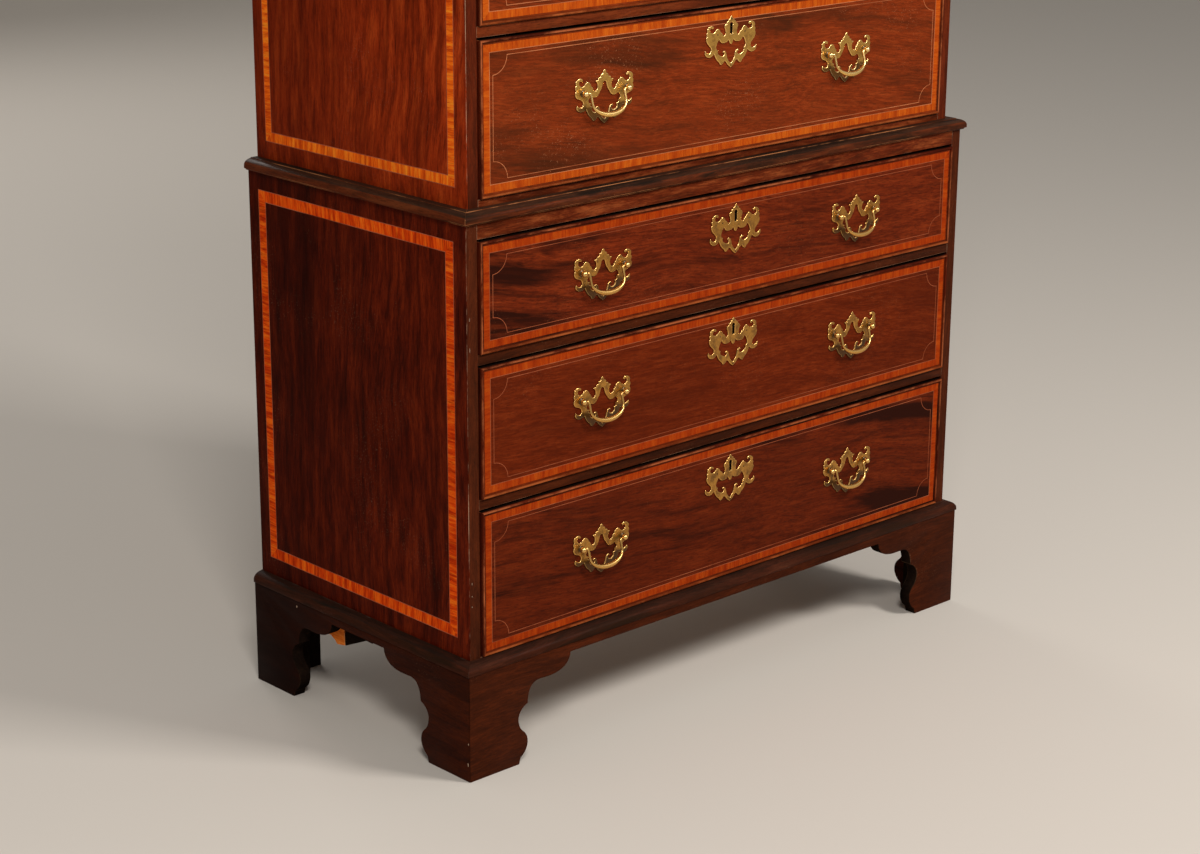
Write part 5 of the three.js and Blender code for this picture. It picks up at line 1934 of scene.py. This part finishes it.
    def build_box(self) -> None:
        """Builds the two dovetailed sides, the rear and the bottom."""
        start = self.shoulder + self.fit
        head = self.shoulder - self.tail_length
        outline = [(self.rear, self.low), (self.rear, self.side_high), (start, self.side_high)]
        for middle, foot, wide in reversed(self.tails()):
            outline += [(start, middle + foot), (head, middle + wide)]
            outline += [(head, middle - wide), (start, middle - foot)]
        outline.append((start, self.low))
        for label, edge, hand in (("left", self.left, 1), ("right", self.right, -1)):
            side = bmesh.new()
            inner = edge + hand * self.side_thickness
            prism(side, outline, lambda back, up, across: (across, back, up), edge, inner)
            soften(side, self.box_arris)
            piece = self.piece(f"side_{label}", side, [OAK_LINING.material(Grain.Y)], "drawer_lining")
            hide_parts(f"{self.name}_box")
        floor = self.low + self.bottom_lift
        floor_top = floor + self.bottom_thickness
        left = self.left + self.side_thickness + self.fit
        right = self.right - self.side_thickness - self.fit
        linings = [OAK_LINING.material(Grain.X)]
        rear_low = (left, self.rear - self.side_thickness, floor_top + self.fit)
        rear = softened_block(rear_low, (right, self.rear, self.side_high - self.back_drop), self.box_arris)
        self.piece("rear", rear, linings, "drawer_lining")
        bottom = softened_block((left, start, floor), (right, self.rear, floor_top), self.bottom_arris)
        self.piece("bottom", bottom, linings, "drawer_lining")

    def build_brass(self, key_level: float) -> None:
        """Places the pulls, the key plate and its pins."""
        brasses = self.brasses
        for bail, (x, y, z) in self.pivots.items():
            label = bail.rsplit("_", 1)[1]
            brasses.put("pull_plate", f"{self.name}_pull_plate_{label}", (x, self.face, z), self.name)
            for side, hand in (("inner", -1), ("outer", 1)):
                post = (x + hand * brasses.spacing / 2, self.face, z)
                brasses.put("post", f"{self.name}_{label}_{side}_post", post, self.name)
            swinging = brasses.put("bail", f"{bail}_drop", (x, y, z), bail)
            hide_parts(bail)
        brasses.put("key_plate", f"{self.name}_key_plate", (self.centre, self.face, key_level), self.name)
        for number, (x, z) in enumerate(self.plate_pins):
            pin = (self.centre + x, self.face, key_level + z)
            brasses.put("plate_pin", f"{self.name}_plate_pin_{number + 1}", pin, self.name)

    def build_lock(self, key_level: float) -> None:
        """Builds the lock let in behind the keyhole, with its screws."""
        middle = key_level + self.brasses.keyhole_high / 2
        across, up = self.lock_width / 2, self.lock_height / 2
        low = (self.centre - across, self.shoulder, middle - up)
        high = (self.centre + across, self.shoulder + self.lock_proud, middle + up)
        lock = bmesh.new()
        block(lock, low, high)
        for x in (low[0] + self.screw_inset, high[0] - self.screw_inset):
            for z in (low[2] + self.screw_inset, high[2] - self.screw_inset):
                disc(lock, (x, high[1], z), self.screw_radius, self.screw_proud, self.screw_sides)
        soften(lock, self.lock_arris, segments=1)
        self.piece("lock", lock, [self.brasses.finish.material()], "pull_brass")

    def build(self, key_level: float) -> None:
        """Builds the whole drawer.

        Args:
            key_level: The level of the key plate's own origin.
        """
        self.build_board(key_level)
        self.build_bead()
        self.build_inlay()
        self.build_box()
        self.build_brass(key_level)
        self.build_lock(key_level)
        log.info("%s: board, cockbead, inlay, box, brass and lock", self.name)


def carved(body: Work, cutter: Work) -> Mesh:
    """Returns a mesh of the body less the cutter, and frees both.

    Args:
        body: What is cut.
        cutter: What is taken away.

    Returns:
        The mesh.
    """
    objects = []
    for bm in (body, cutter):
        turn_outward(bm)
        objects.append(link("carving", mesh_of("carving", bm)))
    carve = objects[0].modifiers.new("carve", "BOOLEAN")
    carve.operation = "DIFFERENCE"
    carve.solver = "EXACT"
    carve.object = objects[1]
    graph = bpy.context.evaluated_depsgraph_get()
    mesh = bpy.data.meshes.new_from_object(objects[0].evaluated_get(graph), depsgraph=graph)
    for piece in objects:
        bpy.data.objects.remove(piece)
    return mesh


# Studio


@dataclass(frozen=True)
class Lamp:
    """A soft square lamp that looks at a spot on the chest's middle line."""

    name: str
    spot: Spot
    aim_height: float
    size: float
    watts: float
    colour: Colour = (1.0, 0.97, 0.93)

    def build(self) -> None:
        """Adds the lamp."""
        data = bpy.data.lights.new(self.name, "AREA")
        data.size = self.size
        data.energy = self.watts
        data.color = self.colour
        lamp = link(self.name, data)
        lamp.location = self.spot
        aim = Vector((0.0, 0.0, self.aim_height)) - Vector(self.spot)
        lamp.rotation_euler = aim.to_track_quat("-Z", "Y").to_euler()


@dataclass
class Studio:
    """The pale floor and backdrop, the lamps and the camera."""

    floor_half: float = 16.0
    wall_distance: float = 8.6
    wall_height: float = 5.0
    curve_radius: float = 1.2
    curve_steps: int = 12
    pale: Colour = (0.64, 0.59, 0.53)
    pale_roughness: float = 0.75
    sky: Colour = (1.0, 0.98, 0.95)
    sky_strength: float = 0.28
    lamps: tuple[Lamp, ...] = (
        Lamp("left_lamp", (-2.5, -3.0, 3.5), aim_height=0.7, size=1.0, watts=108.0),
        Lamp("right_lamp", (1.5, -3.4, 3.6), aim_height=0.7, size=1.1, watts=135.0),
        Lamp("far_panel", (5.2, -5.2, 1.9), aim_height=0.9, size=3.4, watts=12.0),
        Lamp("back_lamp", (1.2, 6.0, 3.2), aim_height=0.7, size=2.0, watts=60.0),
    )
    camera_spot: Spot = (-2.8624, -3.0002, 1.6906)
    yaw: float = 43.152
    pitch: float = 17.504
    roll: float = 0.343
    lens: float = 77.39
    sensor_width: float = 36.0

    def build_camera(self) -> None:
        """Places the camera as it stood for the photograph."""
        data = bpy.data.cameras.new("camera")
        data.lens = self.lens
        data.sensor_width = self.sensor_width
        camera = link("camera", data)
        yaw, pitch = radians(self.yaw), radians(self.pitch)
        level_reach = cos(pitch)
        forward = Vector((sin(yaw) * level_reach, cos(yaw) * level_reach, -sin(pitch)))
        level = forward.cross(Vector((0.0, 0.0, 1.0))).normalized()
        right = Matrix.Rotation(-radians(self.roll), 3, forward) @ level
        up = right.cross(forward)
        turn = Matrix((right, up, -forward)).transposed()
        camera.matrix_world = Matrix.Translation(self.camera_spot) @ turn.to_4x4()
        bpy.context.scene.camera = camera

    def pale_material(self) -> Material:
        """Returns the plain material of the floor and the backdrop."""
        material = bpy.data.materials.new("studio_pale")
        material.use_nodes = True
        shader = material.node_tree.nodes["Principled BSDF"]
        shader.inputs["Base Color"].default_value = opaque(self.pale)
        shader.inputs["Roughness"].default_value = self.pale_roughness
        return material

    def build_floor(self) -> None:
        """Builds a floor that sweeps up into a backdrop."""
        radius = self.curve_radius
        turn = arc((self.wall_distance - radius, radius), (radius, radius), -90, 0, self.curve_steps)
        section = [(-self.floor_half, 0.0), *turn, (self.wall_distance, self.wall_height)]
        bm = bmesh.new()
        rows = [[bm.verts.new((x, y, z)) for y, z in section] for x in (-self.floor_half, self.floor_half)]
        for index in range(len(section) - 1):
            bm.faces.new((rows[0][index], rows[1][index], rows[1][index + 1], rows[0][index + 1]))
        mesh = mesh_of("studio_floor", bm)
        mesh.materials.append(self.pale_material())
        for face in mesh.polygons:
            face.use_smooth = True
        floor = link("studio_floor", mesh)

    def build_light(self) -> None:
        """Lights the room evenly, with lamps from the front left, the front right, far right and behind."""
        world = bpy.data.worlds.new("studio_world")
        world.use_nodes = True
        background = world.node_tree.nodes["Background"]
        background.inputs["Color"].default_value = opaque(self.sky)
        background.inputs["Strength"].default_value = self.sky_strength
        bpy.context.scene.world = world
        for lamp in self.lamps:
            lamp.build()

    def build(self) -> None:
        """Builds the whole studio."""
        self.build_floor()
        self.build_light()
        self.build_camera()
        bpy.context.scene.view_settings.view_transform = "Standard"
        log.info("studio: floor, backdrop, lamps and camera")


@dataclass(frozen=True)
class DrawerPlan:
    """What is chosen for one drawer: its timber, which cut of it, and how low the key plate lies."""

    timber: Timber
    lot: float
    key_drop: float


OPENING_CLEARANCE = 3.6 * MM
# The lower drawers' timbers are darker, a painted shade that deepens down the chest; the upper drawers
# share the light mahogany.
DRAWER_PLANS = {
    "lower_drawer_3": DrawerPlan(DARK_MAHOGANY, 3.1, 57.5 * MM),
    "lower_drawer_2": DrawerPlan(PLAIN_MAHOGANY, 7.4, 51 * MM),
    "lower_drawer_1": DrawerPlan(STREAKED_MAHOGANY, 11.8, 55 * MM),
    "upper_drawer_3": DrawerPlan(LIGHT_MAHOGANY, 15.2, 48 * MM),
    "upper_drawer_2": DrawerPlan(LIGHT_MAHOGANY, 19.6, 52 * MM),
    "upper_drawer_1": DrawerPlan(LIGHT_MAHOGANY, 23.3, 52 * MM),
    "short_drawer_left": DrawerPlan(LIGHT_MAHOGANY, 27.9, 52 * MM),
    "short_drawer_right": DrawerPlan(LIGHT_MAHOGANY, 31.5, 52 * MM),
}


def build_mouldings() -> None:
    """Builds the base moulding, the waist moulding and the cornice where their solids are."""
    side_low, side_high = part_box("lower_left_side")
    half = -side_low[0]
    front, back = side_low[1], side_high[1]
    base_low, base_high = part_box("base_moulding")
    plinth_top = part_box("plinth_left")[1][2]
    base_drawn_in = 1.2 * MM
    base = base_profile(-base_low[0] - half - base_drawn_in, base_high[2] - plinth_top)
    base_timbers = (BASE_MOULDING_MAHOGANY, BASE_LEDGE_MAHOGANY)
    Moulding("base_moulding", "lower_case", half, front, back, plinth_top, base, *base_timbers).build()
    upper_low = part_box("upper_left_side")[0]
    waist_low, waist_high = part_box("waist_moulding")
    top = side_high[2]
    setback = half + upper_low[0] - FIT
    waist = waist_profile(setback, -waist_low[0] - half, waist_high[2] - top, top - waist_low[2])
    Moulding("waist_moulding", "lower_case", half, front, back, top, waist).build()
    cornice_low, cornice_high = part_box("cornice")
    upper_half = -upper_low[0]
    cornice = cornice_profile(-cornice_low[0] - upper_half, cornice_high[2] - cornice_low[2])
    Moulding("cornice", "upper_case", upper_half, upper_low[1], back, cornice_low[2], cornice).build()


def main(record: dict[str, Any]) -> None:
    """Builds the chest in order and reports each piece.

    Args:
        record: The chest's record, which tells where the joints are.
    """
    logging.basicConfig(level=logging.INFO, format="%(message)s")
    CaseBoards().build()
    for case in ("lower", "upper"):
        BackBoards(case).build()
    for hand in HAND_NAMES:
        for case in ("lower", "upper"):
            SideInlay(case, hand).build()
    build_mouldings()
    Plinth().build()
    Chips("case_chips", side_of(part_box("lower_left_side")[0][0], -1), CASE_CHIPS).build()
    # The lower drawers' brass is the darker copy, painted dimmer reflections.
    finishes = {"upper": Brasses(OLD_BRASS), "lower": Brasses(SHADED_BRASS)}
    for brasses in finishes.values():
        brasses.build()
    for name, plan in DRAWER_PLANS.items():
        brasses = finishes["lower" if name.startswith("lower") else "upper"]
        drawer = Drawer(name, plan.timber, plan.lot, brasses, record["behaviour"]["joints"])
        drawer.build(drawer.high + OPENING_CLEARANCE - plan.key_drop)
    Studio().build()


if __name__ == "__main__":
    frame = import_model()
    main(frame["record"])
